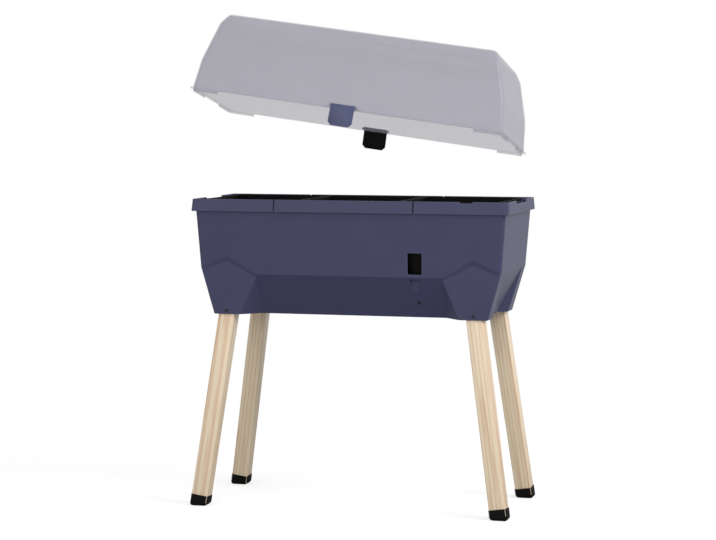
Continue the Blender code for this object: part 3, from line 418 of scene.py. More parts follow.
# %% [markdown]
# The tub's inside, its window and the leg sockets
#
# A window in the front's right half takes the watering can's spout, and the corner pockets are
# sockets for the legs. The hollow is kept a little plainer than the real one, because the trays
# hide it. These cuts come after the rounding, as crisp as a mould core leaves them.

# %% Hollow the tub
HOLLOW_STEPS = 4
HOLLOW_FLOOR_Z = PANEL_LOW_Z + TUB_WALL
LEG_ROOM = 0.074
LOW_LENGTH = POCKET_LENGTH - LEG_ROOM
NARROW_DEPTH = END_PANEL_LOW_HALF - TUB_WALL * 2
SHELF_Z = BEND_Z + TUB_WALL
hollow = drawn_block("hollow_top", [
    (SHELF_Z, BEND_LENGTH - TUB_WALL, BEND_DEPTH - TUB_WALL),
    (WALL_TOP_Z, TOP_LENGTH - TUB_WALL, TOP_DEPTH - TUB_WALL),
    (EDGE_Z + OVERRUN, TOP_LENGTH - TUB_WALL, TOP_DEPTH - TUB_WALL)], TUB_CORNER - TUB_WALL)
hollow_wide = drawn_block("hollow_wide", [
    (HOLLOW_FLOOR_Z, LOW_LENGTH - OVERRUN, SIDE_PANEL_DEPTH - TUB_WALL),
    (SIDE_CREASE_Z, LOW_LENGTH - OVERRUN, side_out(SIDE_CREASE_Z) - TUB_WALL - GAP),
    (SHELF_Z + OVERRUN, LOW_LENGTH - OVERRUN, BEND_DEPTH - TUB_WALL - GAP)], OVERRUN, HOLLOW_STEPS)
hollow_long = drawn_block("hollow_long", [
    (HOLLOW_FLOOR_Z, END_PANEL_LENGTH - TUB_WALL * 2, NARROW_DEPTH),
    (SIDE_CREASE_Z, end_panel_out(SIDE_CREASE_Z) - TUB_WALL * 2, NARROW_DEPTH),
    (SHELF_Z + OVERRUN, BEND_LENGTH - TUB_WALL * 2, NARROW_DEPTH)], OVERRUN, HOLLOW_STEPS)
cut(hollow, hollow_wide, hollow_long, operation="UNION")
cut(hollow, wedge("groove_wall", groove_points(TUB_WALL, 0)))
cut(tub, hollow)
report(tub)

# %% Cut the window
WINDOW_HALF = 0.0175
WINDOW_LOW_Z = SIDE_CREASE_Z + 0.007
WINDOW_HIGH_Z = WINDOW_LOW_Z + 0.051
WINDOW_CORNER = 0.003
WINDOW_STEPS = 6
window = drawn_block("window_cut", [
    (z, WINDOW_HALF, (WINDOW_HIGH_Z - WINDOW_LOW_Z) / 2) for z in (-OVERRUN * 2, OVERRUN * 2)],
    WINDOW_CORNER, WINDOW_STEPS)
window.rotation_euler = (math.pi / 2, 0, 0)
window.location = (WINDOW_X, -side_out(WINDOW_HIGH_Z), (WINDOW_LOW_Z + WINDOW_HIGH_Z) / 2)
cut(tub, done(window))
report(tub)

# %% [markdown]
# The legs
#
# Each leg is a planed square bar that leans outward and stands in a black cap. A bar is drawn
# upright at the origin, so that its grain can be written down along its own length before it is
# leaned into place: the wood's pattern then follows each leg instead of cutting through all four.
# A bar that is a hair thicker cuts the leg's socket into the tub.

# %% Leg sizes and places
LEG_SIZE = 0.040
LEG_EDGE = 0.0022
LEG_IN_SOCKET = 0.100
LEG_LIFT = 0.008
LEG_TOP_X = POCKET_LENGTH - 0.0325
LEG_TOP_Y = POCKET_DEPTH - 0.023
GRAIN_SHIFT = LEG_SIZE * 3
leg_places = {}
for mount in frame["record"]["mounts"]:
    foot = Vector(mount["pos_m"])
    top = Vector((math.copysign(LEG_TOP_X, foot.x), math.copysign(LEG_TOP_Y, foot.y), FLOOR_Z))
    up = (top - foot).normalized()
    across = Vector((0, 1, 0)).cross(up).normalized()
    lean = Matrix((across, up.cross(across), up)).transposed().to_4x4()
    word = mount["name"].removeprefix("rest_")
    leg_places[word] = (Matrix.Translation(foot) @ lean, (top - foot).length)
print({word: round(length, 4) for word, (_, length) in leg_places.items()})


# %% Make the legs and the sockets
def bar(name, half, low, high):
    """A square bar along a leg's own axis."""
    return drawn_block(name, [(low, half, half), (high, half, half)])


legs = {}
for number, (word, (place, length)) in enumerate(leg_places.items()):
    leg = bar(f"leg_wood_{word}", LEG_SIZE / 2, LEG_LIFT, length + LEG_IN_SOCKET)
    apply(
        leg, "BEVEL", width=LEG_EDGE, segments=3, limit_method="ANGLE",
        angle_limit=math.radians(SQUARE_ANGLE))
    grain = leg.data.attributes.new("grain", "FLOAT_VECTOR", "POINT")
    for index, vert in enumerate(leg.data.vertices):
        grain.data[index].vector = vert.co + Vector((number * GRAIN_SHIFT, 0, number))
    leg.matrix_world = place
    legs[word] = done(leg)
    smooth(leg)
    socket_low, socket_high = length - LEG_IN_SOCKET, length + LEG_IN_SOCKET + GAP
    socket = bar("socket_cut", LEG_SIZE / 2 + GAP, socket_low, socket_high)
    socket.matrix_world = place
    cut(tub, done(socket))
    report(leg)
even_shading(tub)
report(tub)

# %% [markdown]
# The foot caps
#
# The foot caps are boots of black rubber, square inside and rounded outside, with a flat sole on
# the floor. Each one starts as a bar round the leg's foot that reaches below the floor. The floor
# cuts it flat, the edges are rounded, and the leg's own bar is cut out of it.

# %% Make the foot caps
CAP_WALL = 0.0018
CAP_HEIGHT = 0.026
CAP_EDGE = 0.008
CAP_STEPS = 6
CAP_ANGLE = 30
AROUND = Vector((LEG_SIZE, LEG_SIZE))
caps = {}
for word, (place, length) in leg_places.items():
    cap = bar(f"foot_boot_{word}", LEG_SIZE / 2 + GAP + CAP_WALL, -CAP_HEIGHT, CAP_HEIGHT * 2)
    cap.matrix_world = place
    done(cap)
    foot = place.translation.xy
    cut(cap, block_between(
        "floor_cut", (*(foot - AROUND), -LEG_SIZE * 2), (*(foot + AROUND), 0)))
    soften(cap, CAP_EDGE, CAP_STEPS, CAP_ANGLE)
    above = bar("cap_above", LEG_SIZE, CAP_HEIGHT, CAP_HEIGHT * 3)
    inside = bar("cap_inside", LEG_SIZE / 2 + GAP, LEG_LIFT - GAP, CAP_HEIGHT + OVERRUN)
    for cutter in (above, inside):
        cutter.matrix_world = place
        cut(cap, done(cutter))
    smooth(cap)
    caps[word] = cap
    report(cap)

# %% [markdown]
# The rim
#
# Four snap-on strips make the top edge: two straight ones in the middle of the long sides and two
# that run round the ends, so that the front shows two seams. They are one ring on the drawing
# board. The ring is made once, with its outer skirt, its plate and its raised lip, and a copy of it
# is cut to each strip.

# %% Make the whole ring
RIM_LEAN_LENGTH = 0.002
RIM_LEAN_DEPTH = 0.004
RIM_TOP_LENGTH = RIM_SPAN - RIM_LEAN_LENGTH
RIM_TOP_DEPTH = RIM_DEPTH - RIM_LEAN_DEPTH
RIM_WALL = 0.003
RIM_LIP = 0.0045
RIM_STEP = 0.008
RIM_WIDTH = 0.0255
RIM_CORNER = 0.007
TRAY_CORNER = 0.008
PLATE_Z = RIM_TOP_Z - RIM_STEP
PAST_TOP_Z = RIM_TOP_Z + OVERRUN
MOUTH_HALF_LENGTH = RIM_TOP_LENGTH - RIM_WIDTH
MOUTH_HALF_DEPTH = RIM_TOP_DEPTH - RIM_WIDTH


def ring_level(z, inset):
    """The ring's outline at a height, some way in from its outer face."""
    length = straight(z, (RIM_BASE_Z, RIM_SPAN), (RIM_TOP_Z, RIM_TOP_LENGTH))
    depth = straight(z, (RIM_BASE_Z, RIM_DEPTH), (RIM_TOP_Z, RIM_TOP_DEPTH))
    return (z, length - inset, depth - inset)


ring = drawn_block("rim_ring", [ring_level(RIM_BASE_Z, 0), ring_level(RIM_TOP_Z, 0)], RIM_CORNER)
under = drawn_block("ring_under", [
    ring_level(z, RIM_WALL) for z in (RIM_BASE_Z - OVERRUN, PLATE_Z - RIM_WALL)],
    RIM_CORNER - RIM_WALL)
rebate = drawn_block("ring_rebate", [
    (z, RIM_TOP_LENGTH - RIM_LIP, RIM_TOP_DEPTH - RIM_LIP) for z in (PLATE_Z, PAST_TOP_Z)],
    RIM_CORNER - RIM_LIP)
mouth = drawn_block("ring_mouth", [
    (z, MOUTH_HALF_LENGTH, MOUTH_HALF_DEPTH) for z in (RIM_BASE_Z, PAST_TOP_Z)], TRAY_CORNER)
cut(ring, under, rebate, mouth)
report(ring)

# %% [markdown]
# The finger dips
#
# In the middle of each end the rim dips a little, with sloping flanks. One wedge through the ring
# cuts each dip, before the strips are parted.

# %% Cut the dips in the ends
DIP_HALF = 0.060
DIP_DEPTH = 0.007
DIP_SLOPE = 0.006
dip_levels = ((RIM_TOP_Z - DIP_DEPTH, DIP_HALF), (PAST_TOP_Z, DIP_HALF + DIP_SLOPE))
for side in (-1, 1):
    points = []
    for x in (MOUTH_HALF_LENGTH, RIM_TOP_LENGTH + OVERRUN):
        for z, half in dip_levels:
            points += [(side * x, -half, z), (side * x, half, z)]
    cut(ring, wedge("ring_dip", points))
report(ring)

# %% [markdown]
# The four strips
#
# Each strip is the part of the ring inside its own span. At a seam the span stops a millimetre
# short, which leaves the dark line that two snapped-on strips show. The right one also has a
# shallow notch in its front edge.

# %% Cut a copy to each strip
NOTCH_X = TOP_LENGTH - 0.0941
NOTCH_HALF = 0.0155
NOTCH_DEPTH = 0.003
NOTCH_INSET = GAP * 6
RIM_EDGE = 0.0011
SEAM_OPEN = 0.0010
STRIP_SIDES = {"rim_left": (-1, 1), "rim_right": (-1, 1), "rim_front": (-1, 0), "rim_rear": (0, 1)}
strips = {}
for node, side in STRIP_SIDES.items():
    strip = ring.copy()
    strip.data = ring.data.copy()
    strip.name = f"{node}_strip"
    bpy.context.collection.objects.link(strip)
    low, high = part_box(node)
    reach = [-SEAM_OPEN if abs(value) < RIM_SPAN - GAP else OVERRUN for value in (low.x, high.x)]
    far = RIM_DEPTH + OVERRUN
    span = block_between(
        "span", (low.x - reach[0], side[0] * far, RIM_BASE_Z - OVERRUN),
        (high.x + reach[1], side[1] * far, PAST_TOP_Z))
    cut(strip, span, operation="INTERSECT")
    if node == "rim_right":
        notch = block_between(
            "notch", (NOTCH_X - NOTCH_HALF, -far, RIM_TOP_Z - NOTCH_DEPTH),
            (NOTCH_X + NOTCH_HALF, -(RIM_TOP_DEPTH - RIM_LIP - NOTCH_INSET), PAST_TOP_Z))
        cut(strip, notch)
    clean(strip)
    soften(strip, RIM_EDGE)
    even_shading(strip)
    strips[node] = strip
    report(strip)
bpy.data.objects.remove(ring, do_unlink=True)

# %% [markdown]
# The lifted place of the lid
#
# The lid is easiest to model where it belongs, upright on the rim. The frame's joints say how far
# it has been lifted and turned since: each joint's lower limit puts it back. So the way from the
# rim to its place in the air is the way back turned round.


# %% Work out the lid's way up
def turn_about(joint, degrees):
    """The matrix of a turn about a joint's axis."""
    place = Matrix.Translation(Vector(joint["pos_m"]))
    turn = Matrix.Rotation(math.radians(degrees), 4, Vector(joint["axis"]))
    return place @ turn @ place.inverted()


joints = {joint["name"]: joint for joint in frame["joints"]}
lift, swing = joints["lid_lift_off"], joints["lid_swing"]
down = turn_about(lift, lift["range_deg"][0])
shut = turn_about(swing, swing["range_deg"][0])
REAR_CLIP_UP = down.inverted()
LID_UP = (down @ shut).inverted()
print("the lid's middle goes to", [round(v, 3) for v in LID_UP @ Vector((0, 0, RIM_TOP_Z))])

# %% [markdown]
# The clear lid
#
# The lid is a thin vacuum-formed dome of one wall thickness, with a narrow flange round its mouth
# and feet at the corners that drop inside the rim. A drawn block gives the dome. Its lower face is
# taken away, the creases are rounded as warm sheet rounds them, and a Solidify modifier gives the
# wall.

# %% Draw the dome
LID_BASE_Z = RIM_TOP_Z + GAP
LID_WALL = 0.0024
LID_CORNER = 0.012
LID_STEPS = 10
LID_LEVELS = (
    (LID_WALL, 0.0020, 0.0066),
    (0.0759, 0.0107, 0.0087),
    (0.1708, 0.0393, 0.0115),
    (0.1956, 0.0547, 0.0237))
CREASE_EDGE = 0.005
lid = drawn_block("lid_dome", [
    (LID_BASE_Z + rise, RIM_TOP_LENGTH - inset_x, RIM_TOP_DEPTH - inset_y)
    for rise, inset_x, inset_y in LID_LEVELS], LID_CORNER, LID_STEPS)
mouth_z, *crease_z = [LID_BASE_Z + rise for rise, _, _ in LID_LEVELS]


def level_edge(edge, z):
    """Whether an edge lies level at a height."""
    return all(abs(vert.co.z - z) < GAP for vert in edge.verts)


editing(lid)
select(lid, "faces", lambda face: face.normal.z < -FACING)
bpy.ops.mesh.delete(type="FACE")
select(lid, "edges", lambda edge: any(level_edge(edge, z) for z in crease_z))
bpy.ops.mesh.bevel(
    offset=CREASE_EDGE, segments=3, profile=ROUND_PROFILE, clamp_overlap=True)
print("dome edges", len(bmesh.from_edit_mesh(lid.data).edges))

# %% [markdown]
# The flange
#
# The flange is the dome's own lower edge, extruded outwards. Scaling the extruded loop by the
# flange's size over the dome's size lands it on the flange's outline.

# %% Turn the mouth out into a flange
MOUTH_LENGTH = RIM_TOP_LENGTH - LID_LEVELS[0][1]
MOUTH_DEPTH = RIM_TOP_DEPTH - LID_LEVELS[0][2]
FLANGE_LENGTH = RIM_TOP_LENGTH + 0.002
FLANGE_DEPTH = RIM_TOP_DEPTH
flange_scale = (FLANGE_LENGTH / MOUTH_LENGTH, FLANGE_DEPTH / MOUTH_DEPTH, 1)
select(lid, "edges", lambda edge: level_edge(edge, mouth_z))
bpy.ops.mesh.extrude_region_move(TRANSFORM_OT_translate={"value": (0, 0, 0)})
bpy.ops.transform.resize(value=flange_scale, center_override=(0, 0, mouth_z))
bpy.ops.object.mode_set(mode="OBJECT")
clean(lid)
apply(lid, "SOLIDIFY", thickness=LID_WALL, offset=-1, use_even_offset=True)
report(lid)

# %% [markdown]
# The lid's corner feet
#
# The corner feet are the four corners of one low ring. Two blocks take away its middles, and a
# narrow ledge inside the mouth carries what is left.

# %% Add the ledge and the corner feet
LEDGE = 0.0035
FOOT_DROP = 0.0066
FOOT_WALL = 0.0022
FOOT_SIDE = 0.066
FOOT_END = 0.094
FOOT_LENGTH = RIM_TOP_LENGTH - RIM_LIP - GAP * 2
FOOT_DEPTH = MOUTH_DEPTH - GAP


def upright_ring(name, low, high, outside, inside, corner):
    """A ring with upright walls between two rounded outlines."""
    made = drawn_block(name, [(low, *outside), (high, *outside)], corner, LID_STEPS)
    hole_levels = [(low - OVERRUN, *inside), (high + OVERRUN, *inside)]
    cut(made, drawn_block("ring_hole", hole_levels, corner - LID_WALL, LID_STEPS))
    return made


ledge = upright_ring(
    "lid_ledge", LID_BASE_Z, LID_BASE_Z + LID_WALL, (MOUTH_LENGTH - GAP, MOUTH_DEPTH - GAP),
    (MOUTH_LENGTH - LID_WALL - LEDGE, MOUTH_DEPTH - LID_WALL - GAP * 2), LID_CORNER)
feet = upright_ring(
    "lid_feet", LID_BASE_Z - FOOT_DROP, LID_BASE_Z + LID_WALL / 2, (FOOT_LENGTH, FOOT_DEPTH),
    (FOOT_LENGTH - FOOT_WALL, FOOT_DEPTH - FOOT_WALL), LID_CORNER - LID_WALL)
foot_low, foot_high = LID_BASE_Z - FOOT_DROP - OVERRUN, LID_BASE_Z + GAP
cut(
    feet,
    block_between(
        "middle", (FOOT_SIDE - FOOT_LENGTH, -RIM_DEPTH, foot_low),
        (FOOT_LENGTH - FOOT_SIDE, RIM_DEPTH, foot_high)),
    block_between(
        "ends", (-RIM_SPAN, FOOT_END - FOOT_DEPTH, foot_low),
        (RIM_SPAN, FOOT_DEPTH - FOOT_END, foot_high)))
cut(ledge, feet, operation="UNION")
cut(lid, ledge, operation="UNION")
report(lid)

# %% [markdown]
# The clips
#
# Each long side has one clip that turns on a steel pin between two lugs of the lid: the front one
# near the tub's colour, the rear one black. A clip is a plate with chamfered lower corners, hung
# from a round knuckle, with a hook inside that snaps under the rim. All three are rounded before
# they are joined, and the pin's hole and a small notch in the knuckle are cut last.

# %% Clip sizes
PIN_Y = RIM_DEPTH
PIN_Z = RIM_TOP_Z + 0.0065
PIN_HOLE = 0.0023
KNUCKLE = 0.0045
CLIP_HALF = 0.030
CLIP_THICK = 0.003
CLIP_LOW_Z = RIM_BASE_Z - 0.0125
CLIP_CHAMFER = 0.008
CLIP_EDGE = 0.0008
HOOK_HIGH_Z = RIM_BASE_Z - 0.001
HOOK_LOW_Z = HOOK_HIGH_Z - 0.0055
HOOK_REACH = 0.002
HOOK_HALF = 0.022
LUG_NEAR = CLIP_HALF + 0.0005
LUG_THICK = 0.0045
LUG_STEPS = 24
CLIP_NOTCH = 0.0015
CLIP_NOTCH_X = 0.004
ROD_SIDES = 32


def rod_along_x(name, radius, low, high, side, edge=0):
    """A round bar on a pin's axis, from a cylinder laid on its side."""
    bpy.ops.object.select_all(action="DESELECT")
    bpy.ops.mesh.primitive_cylinder_add(
        vertices=ROD_SIDES, radius=radius, depth=high - low,
        location=((low + high) / 2, side * PIN_Y, PIN_Z), rotation=(0, math.pi / 2, 0))
    made = bpy.context.object
    made.name = name
    done(made)
    if edge:
        apply(
            made, "BEVEL", limit_method="ANGLE", angle_limit=math.radians(SQUARE_ANGLE), width=edge,
            segments=2)
    return made


def make_clip(name, side):
    """One clip, where it sits when the lid is shut."""
    outer = PIN_Y + KNUCKLE
    inner = outer - CLIP_THICK
    points = []
    for y in (side * inner, side * outer):
        for end in (-1, 1):
            points += [
                (end * CLIP_HALF, y, PIN_Z), (end * CLIP_HALF, y, CLIP_LOW_Z + CLIP_CHAMFER),
                (end * (CLIP_HALF - CLIP_CHAMFER), y, CLIP_LOW_Z)]
    clip = wedge(name, points)
    soften(clip, CLIP_EDGE)
    hook = block_between(
        "hook", (-HOOK_HALF, side * (RIM_DEPTH - HOOK_REACH), HOOK_LOW_Z),
        (HOOK_HALF, side * (inner + GAP), HOOK_HIGH_Z))
    soften(hook, CLIP_EDGE / 2, segments=2)
    knuckle = rod_along_x("knuckle", KNUCKLE, -CLIP_HALF, CLIP_HALF, side, CLIP_EDGE)
    cut(clip, knuckle, hook, operation="UNION")
    notch = block_between(
        "notch", (CLIP_NOTCH_X - CLIP_NOTCH, PIN_Y * side - OVERRUN, PIN_Z + KNUCKLE - CLIP_NOTCH),
        (CLIP_NOTCH_X + CLIP_NOTCH, PIN_Y * side + OVERRUN, PIN_Z + OVERRUN))
    far = CLIP_HALF + OVERRUN
    cut(clip, rod_along_x("pin_hole", PIN_HOLE, -far, far, side), notch)
    smooth(clip)
    return clip


# %% Make the clips and their lugs
clips = {"front": make_clip("front_clip_plate", -1), "rear": make_clip("rear_clip_plate", 1)}
for side in (-1, 1):
    for end in (-1, 1):
        ends = sorted((end * LUG_NEAR, end * (LUG_NEAR + LUG_THICK)))
        points = []
        for x in ends:
            for z in (LID_BASE_Z + LID_WALL / 2, PIN_Z + KNUCKLE):
                points.append((x, side * (MOUTH_DEPTH - LID_WALL / 2), z))
            for step in range(LUG_STEPS):
                turn = math.radians(360 / LUG_STEPS * step)
                y, z = PIN_Y + KNUCKLE * math.cos(turn), PIN_Z + KNUCKLE * math.sin(turn)
                points.append((x, side * y, z))
        cut(lid, wedge("lug", points), operation="UNION")
        cut(lid, rod_along_x("lug_hole", PIN_HOLE, ends[0] - OVERRUN, ends[1] + OVERRUN, side))
report(lid)

# %% Carry the lid and its clips up
for piece, way in ((lid, LID_UP), (clips["front"], LID_UP), (clips["rear"], REAR_CLIP_UP)):
    piece.matrix_world = way
    done(piece)
    report(piece)
even_shading(lid)

# %% [markdown]
# The small pieces of the frame
#
# The trays, the cups, the chute, the plug, the screws and the pins have the right shape in the
# frame already. Where their edges show, a copy is merged and its edges are rounded. The rest stay
# as they are and only get a finish. Each tray also gets its collar, a thin upright edge inside the
# rim that keeps soil off the rim and shows black behind it.

# %% Soften copies of the trays
TRAY_EDGE = 0.0008
TRAY_ANGLE = 25
TRAY_JOIN = 0.0005
TRAY_BETWEEN = 0.005
TRAY_PLACES = {"soil_tray_left": -1, "soil_tray_middle": 0, "soil_tray_right": 1}
COLLAR_WALL = 0.0018
COLLAR_LAP = 0.010
COLLAR_TOP_Z = RIM_TOP_Z - 0.0006


def tray_collar(node):
    """The upright edge round a tray's mouth, lapped over the inside of its wall."""
    tray_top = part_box(node)[1].z
    mouth_half = (MOUTH_HALF_LENGTH * 2 - TRAY_BETWEEN * 2) / 6
    centre = (TRAY_PLACES[node] * (mouth_half * 2 + TRAY_BETWEEN), 0)
    steps = (
        (tray_top - COLLAR_LAP, TRAY_JOIN),
        (tray_top - GAP, TRAY_JOIN),
        (tray_top, -GAP),
        (COLLAR_TOP_Z, -GAP))
    levels = [(z, mouth_half + out, MOUTH_HALF_DEPTH + out) for z, out in steps]
    collar = drawn_block(f"{node}_collar", levels, TRAY_CORNER, centre=centre)
    inside = (mouth_half - COLLAR_WALL, MOUTH_HALF_DEPTH - COLLAR_WALL)
    hole = drawn_block("collar_hole", [
        (z, *inside) for z in (tray_top - COLLAR_LAP - OVERRUN, COLLAR_TOP_Z + OVERRUN)],
        TRAY_CORNER - COLLAR_WALL, centre=centre)
    cut(collar, hole)
    return collar


softened = {}
for node in (*TRAY_PLACES, "filler_chute"):
    piece = frame["nodes"][node].copy()
    piece.data = frame["nodes"][node].data.copy()
    for key in list(piece.keys()):
        del piece[key]
    piece.name = f"{node}_soft"
    piece.parent = None
    bpy.context.scene.collection.objects.link(piece)
    clean(piece)
    if node in TRAY_PLACES:
        cut(piece, tray_collar(node), operation="UNION")
    soften(piece, TRAY_EDGE, angle=TRAY_ANGLE)
    even_shading(piece)
    softened[node] = piece
    report(piece)

# %% [markdown]
# Materials
#
# Every finish starts from what the real one is and how it is made. Colours are written as they
# look, in sRGB, and turned linear by one function. One more function adds a node with its settings
# and its links. The nodes that every finish needs get a short function each: a noise, a spread of
# values, a mix of two colours and a relief. So each material below reads as a list of what it is
# made of.


# %% Colour and node helpers
def linear(code):
    """An sRGB hex colour as linear light, opaque."""
    values = [int(code[place:place + 2], 16) / 255 for place in (1, 3, 5)]
    light = (v / 12.92 if v <= 0.04045 else ((v + 0.055) / 1.055) ** 2.4 for v in values)
    return (*light, 1)


def add_node(material, kind, values=None, links=None, **settings):
    """Add a node, set its choices and values, and link sources to its inputs."""
    made = material.node_tree.nodes.new(kind)
    for key, value in settings.items():
        setattr(made, key, value)
    for key, value in (values or {}).items():
        made.inputs[key].default_value = value
    for key, source in (links or {}).items():
        material.node_tree.links.new(source, made.inputs[key])
    return made


def noise(material, place, size, detail, roughness=0.5, distortion=0.0):
    """Noise with spots about one size wide."""
    values = {
        "Scale": 1 / size, "Detail": detail, "Roughness": roughness, "Distortion": distortion}
    return add_node(material, "ShaderNodeTexNoise", values, {"Vector": place}).outputs["Fac"]


def spread(material, value, low, high, start=0.0, end=1.0, **settings):
    """Carry a value's range from start to end over to a range from low to high."""
    values = {"From Min": start, "From Max": end, "To Min": low, "To Max": high}
    made = add_node(material, "ShaderNodeMapRange", values, {"Value": value}, **settings)
    return made.outputs[0]


def mix(material, share, first, second):
    """Mix a colour, or the colour that a node gives, with a second colour."""
    values, links = {7: second}, {0: share}
    (values if isinstance(first, tuple) else links)[6] = first
    return add_node(material, "ShaderNodeMix", values, links, data_type="RGBA").outputs[2]


def relief(material, height, strength, distance):
    """Tilt the surface's normal by a height."""
    values = {"Strength": strength, "Distance": distance}
    return add_node(material, "ShaderNodeBump", values, {"Height": height}).outputs[0]


def new_material(name):
    """An empty material with its output."""
    made = bpy.data.materials.new(name)
    made.use_nodes = True
    made.node_tree.nodes.clear()
    return made, add_node(made, "ShaderNodeOutputMaterial")


def finish_material(material, output, shader):
    """Link the shader to the output."""
    material.node_tree.links.new(shader.outputs[0], output.inputs["Surface"])
    print(material.name, len(material.node_tree.nodes), "nodes")
    return material


# %% [markdown]
# Moulded plastics
#
# The tub and the rim are injection-moulded polypropylene. Its mould is spark-eroded, which leaves a
# fine even grain: a satin sheen without a clear reflection. The edges are painted a little paler, as
# a painted highlight where a rounded edge catches the light. The real grain is 0.2 mm, far below one
# pixel of this picture, so it is drawn 3 mm coarse and very shallow. Slow clouds in the colour, a few
# centimetres wide, are what a large moulding shows under soft light. The painted edge highlight
# comes from an Ambient Occlusion node that looks inwards: its rays are shorter than a wall is thick,
# so they meet another face only near an edge.
#
# The front clip is a smoother acetal, so its sheen is tighter. The trays, the cups, the chute and
# the rear clip are black, with a weak sheen that keeps them dark. The caps are black rubber with a
# coarser skin, and the plug of the overflow is rubber too, a dark grey that hardly shines.

# %% Make the moulded plastics
GRAIN = 0.003
CLOUD = 0.070
# How far the inward rays reach, and how strongly the painted edge highlight shows.
EDGE_HIGHLIGHT_REACH = 0.0015
EDGE_RAYS = 4
EDGE_HIGHLIGHT_RANGE = (0.95, 0.6)
EDGE_HIGHLIGHT_SHARE = 0.6
GLOSS_SPREAD = 0.05
PLASTIC_IOR = 1.49


def moulded_plastic(name, base, edge, roughness, clouds=0.08, bump=0.12, shine=0.20):
    """Satin moulded plastic: clouded colour, a painted highlight on the edges and a fine grain."""
    made, output = new_material(name)
    place = add_node(made, "ShaderNodeTexCoord").outputs["Object"]
    cloud = noise(made, place, CLOUD, 3.0, 0.55)
    grain = noise(made, place, GRAIN, 2.0, 0.6)
    darker = tuple(channel * (1 - clouds) for channel in base[:3]) + (1,)
    lighter = tuple(channel * (1 + clouds) for channel in base[:3]) + (1,)
    # Painted highlight: near an edge the colour turns towards the paler edge colour.
    near_edge = add_node(
        made, "ShaderNodeAmbientOcclusion", {"Distance": EDGE_HIGHLIGHT_REACH}, samples=EDGE_RAYS, inside=True,
        only_local=True)
    painted_edge_highlight = spread(made, near_edge.outputs["AO"], 0.0, EDGE_HIGHLIGHT_SHARE, *EDGE_HIGHLIGHT_RANGE)
    colour = mix(made, painted_edge_highlight, mix(made, cloud, darker, lighter), edge)
    gloss = spread(made, grain, roughness - GLOSS_SPREAD, roughness + GLOSS_SPREAD)
    shader = add_node(
        made, "ShaderNodeBsdfPrincipled", {"IOR": PLASTIC_IOR, "Specular IOR Level": shine},
        {"Base Color": colour, "Roughness": gloss, "Normal": relief(made, grain, bump, GRAIN / 10)})
    return finish_material(made, output, shader)


# In each finish below, the second colour is the painted edge highlight.
slate = moulded_plastic(
    "spark_eroded_polypropylene_slate", linear("#3c3d59"), linear("#5c5e78"), 0.47)
clip_blue = moulded_plastic("moulded_acetal_slate", linear("#484d6b"), linear("#666b84"), 0.38)
black = moulded_plastic(
    "moulded_polypropylene_black", linear("#040404"), linear("#101012"), 0.50, shine=0.07)
plug_grey = moulded_plastic(
    "moulded_rubber_grey", linear("#24242c"), linear("#34343c"), 0.60, shine=0.12)
rubber = moulded_plastic(
    "moulded_rubber_black", linear("#060606"), linear("#101010"), 0.70, clouds=0.15, bump=0.3,
    shine=0.12)

# %% [markdown]
# Frosted clear sheet
#
# The lid is clear plastic sheet with a matt skin. It scatters some of the light that falls on it
# and lets the rest through, so one wall over the white background looks pale, and two walls look
# greyer. That is written as a see-through share for each face of the sheet: two faces to a wall,
# four where the far wall stands behind the near one.

# %% Make the frosted sheet
FROST = 0.012
COVER_RANGE = (0.32, 0.355)
FROST_ROUGHNESS = (0.24, 0.34)
frosted, output = new_material("frosted_clear_sheet")
place = add_node(frosted, "ShaderNodeTexCoord").outputs["Object"]
haze = noise(frosted, place, FROST, 4.0, 0.6)
cover = spread(frosted, haze, *COVER_RANGE)
gloss = spread(frosted, haze, *FROST_ROUGHNESS)
shader = add_node(
    frosted, "ShaderNodeBsdfPrincipled", {"Base Color": linear("#8c899b"), "IOR": PLASTIC_IOR},
    {"Alpha": cover, "Roughness": gloss})
finish_material(frosted, output, shader)

# %% [markdown]
# Planed softwood
#
# The legs are pale planed softwood: yearly rings that run the length of the bar as fine darker
# lines, a few of them pointed like an arch where the bar cuts across them, under a thin matt
# lacquer. The rings of such wood are about 3 mm apart. The bars are only 15 pixels wide here, so
# most lines are drawn 6 to 12 mm apart, or they would vanish.

# %% Make the wood
RING = 0.011
RING_RELIEF = 0.0003
PORE = 0.0022
wood, output = new_material("planed_softwood")
grain_place = add_node(wood, "ShaderNodeAttribute", attribute_name="grain").outputs["Vector"]
long_way = add_node(
    wood, "ShaderNodeMapping",
    {"Scale": (1, 1, 0.035), "Rotation": (math.radians(2), math.radians(1), 0)},
    {"Vector": grain_place}).outputs[0]
rings = noise(wood, long_way, RING, 3.0, 0.55, 0.6)
pores = noise(wood, long_way, PORE, 2.0)
arches = add_node(
    wood, "ShaderNodeTexWave",
    {"Scale": 0.35 / RING, "Distortion": 5.0, "Detail": 2.0, "Detail Scale": 0.6},
    {"Vector": long_way}, wave_type="RINGS", rings_direction="Z")
late = spread(wood, rings, 0.0, 1.0, 0.52, 0.72)
arch = spread(wood, arches.outputs["Fac"], 0.0, 0.55, 0.72, 1.0)
speck = spread(wood, pores, 0.0, 0.35, 0.5, 0.8)
ringed = mix(wood, late, linear("#e0cfb3"), linear("#c6a583"))
arched = mix(wood, arch, ringed, linear("#c59d7c"))
board = mix(wood, speck, arched, linear("#bd9a76"))
shader = add_node(
    wood, "ShaderNodeBsdfPrincipled",
    {"Roughness": 0.48, "IOR": 1.5, "Coat Weight": 0.15, "Coat Roughness": 0.3},
    {"Base Color": board, "Normal": relief(wood, rings, 0.2, RING_RELIEF)})
finish_material(wood, output, shader)

# %% [markdown]
# Steel
#
# The leg screws are blackened steel and the clip pins are drawn wire. Blackening leaves a dark
# skin that still reflects like metal, and drawing leaves hair-fine lines along the wire. Both get
# their default reflection and differ in colour and roughness.

# %% Make the steels
STEEL_MARK = 1 / 1500
STEEL_SPREAD = 0.08


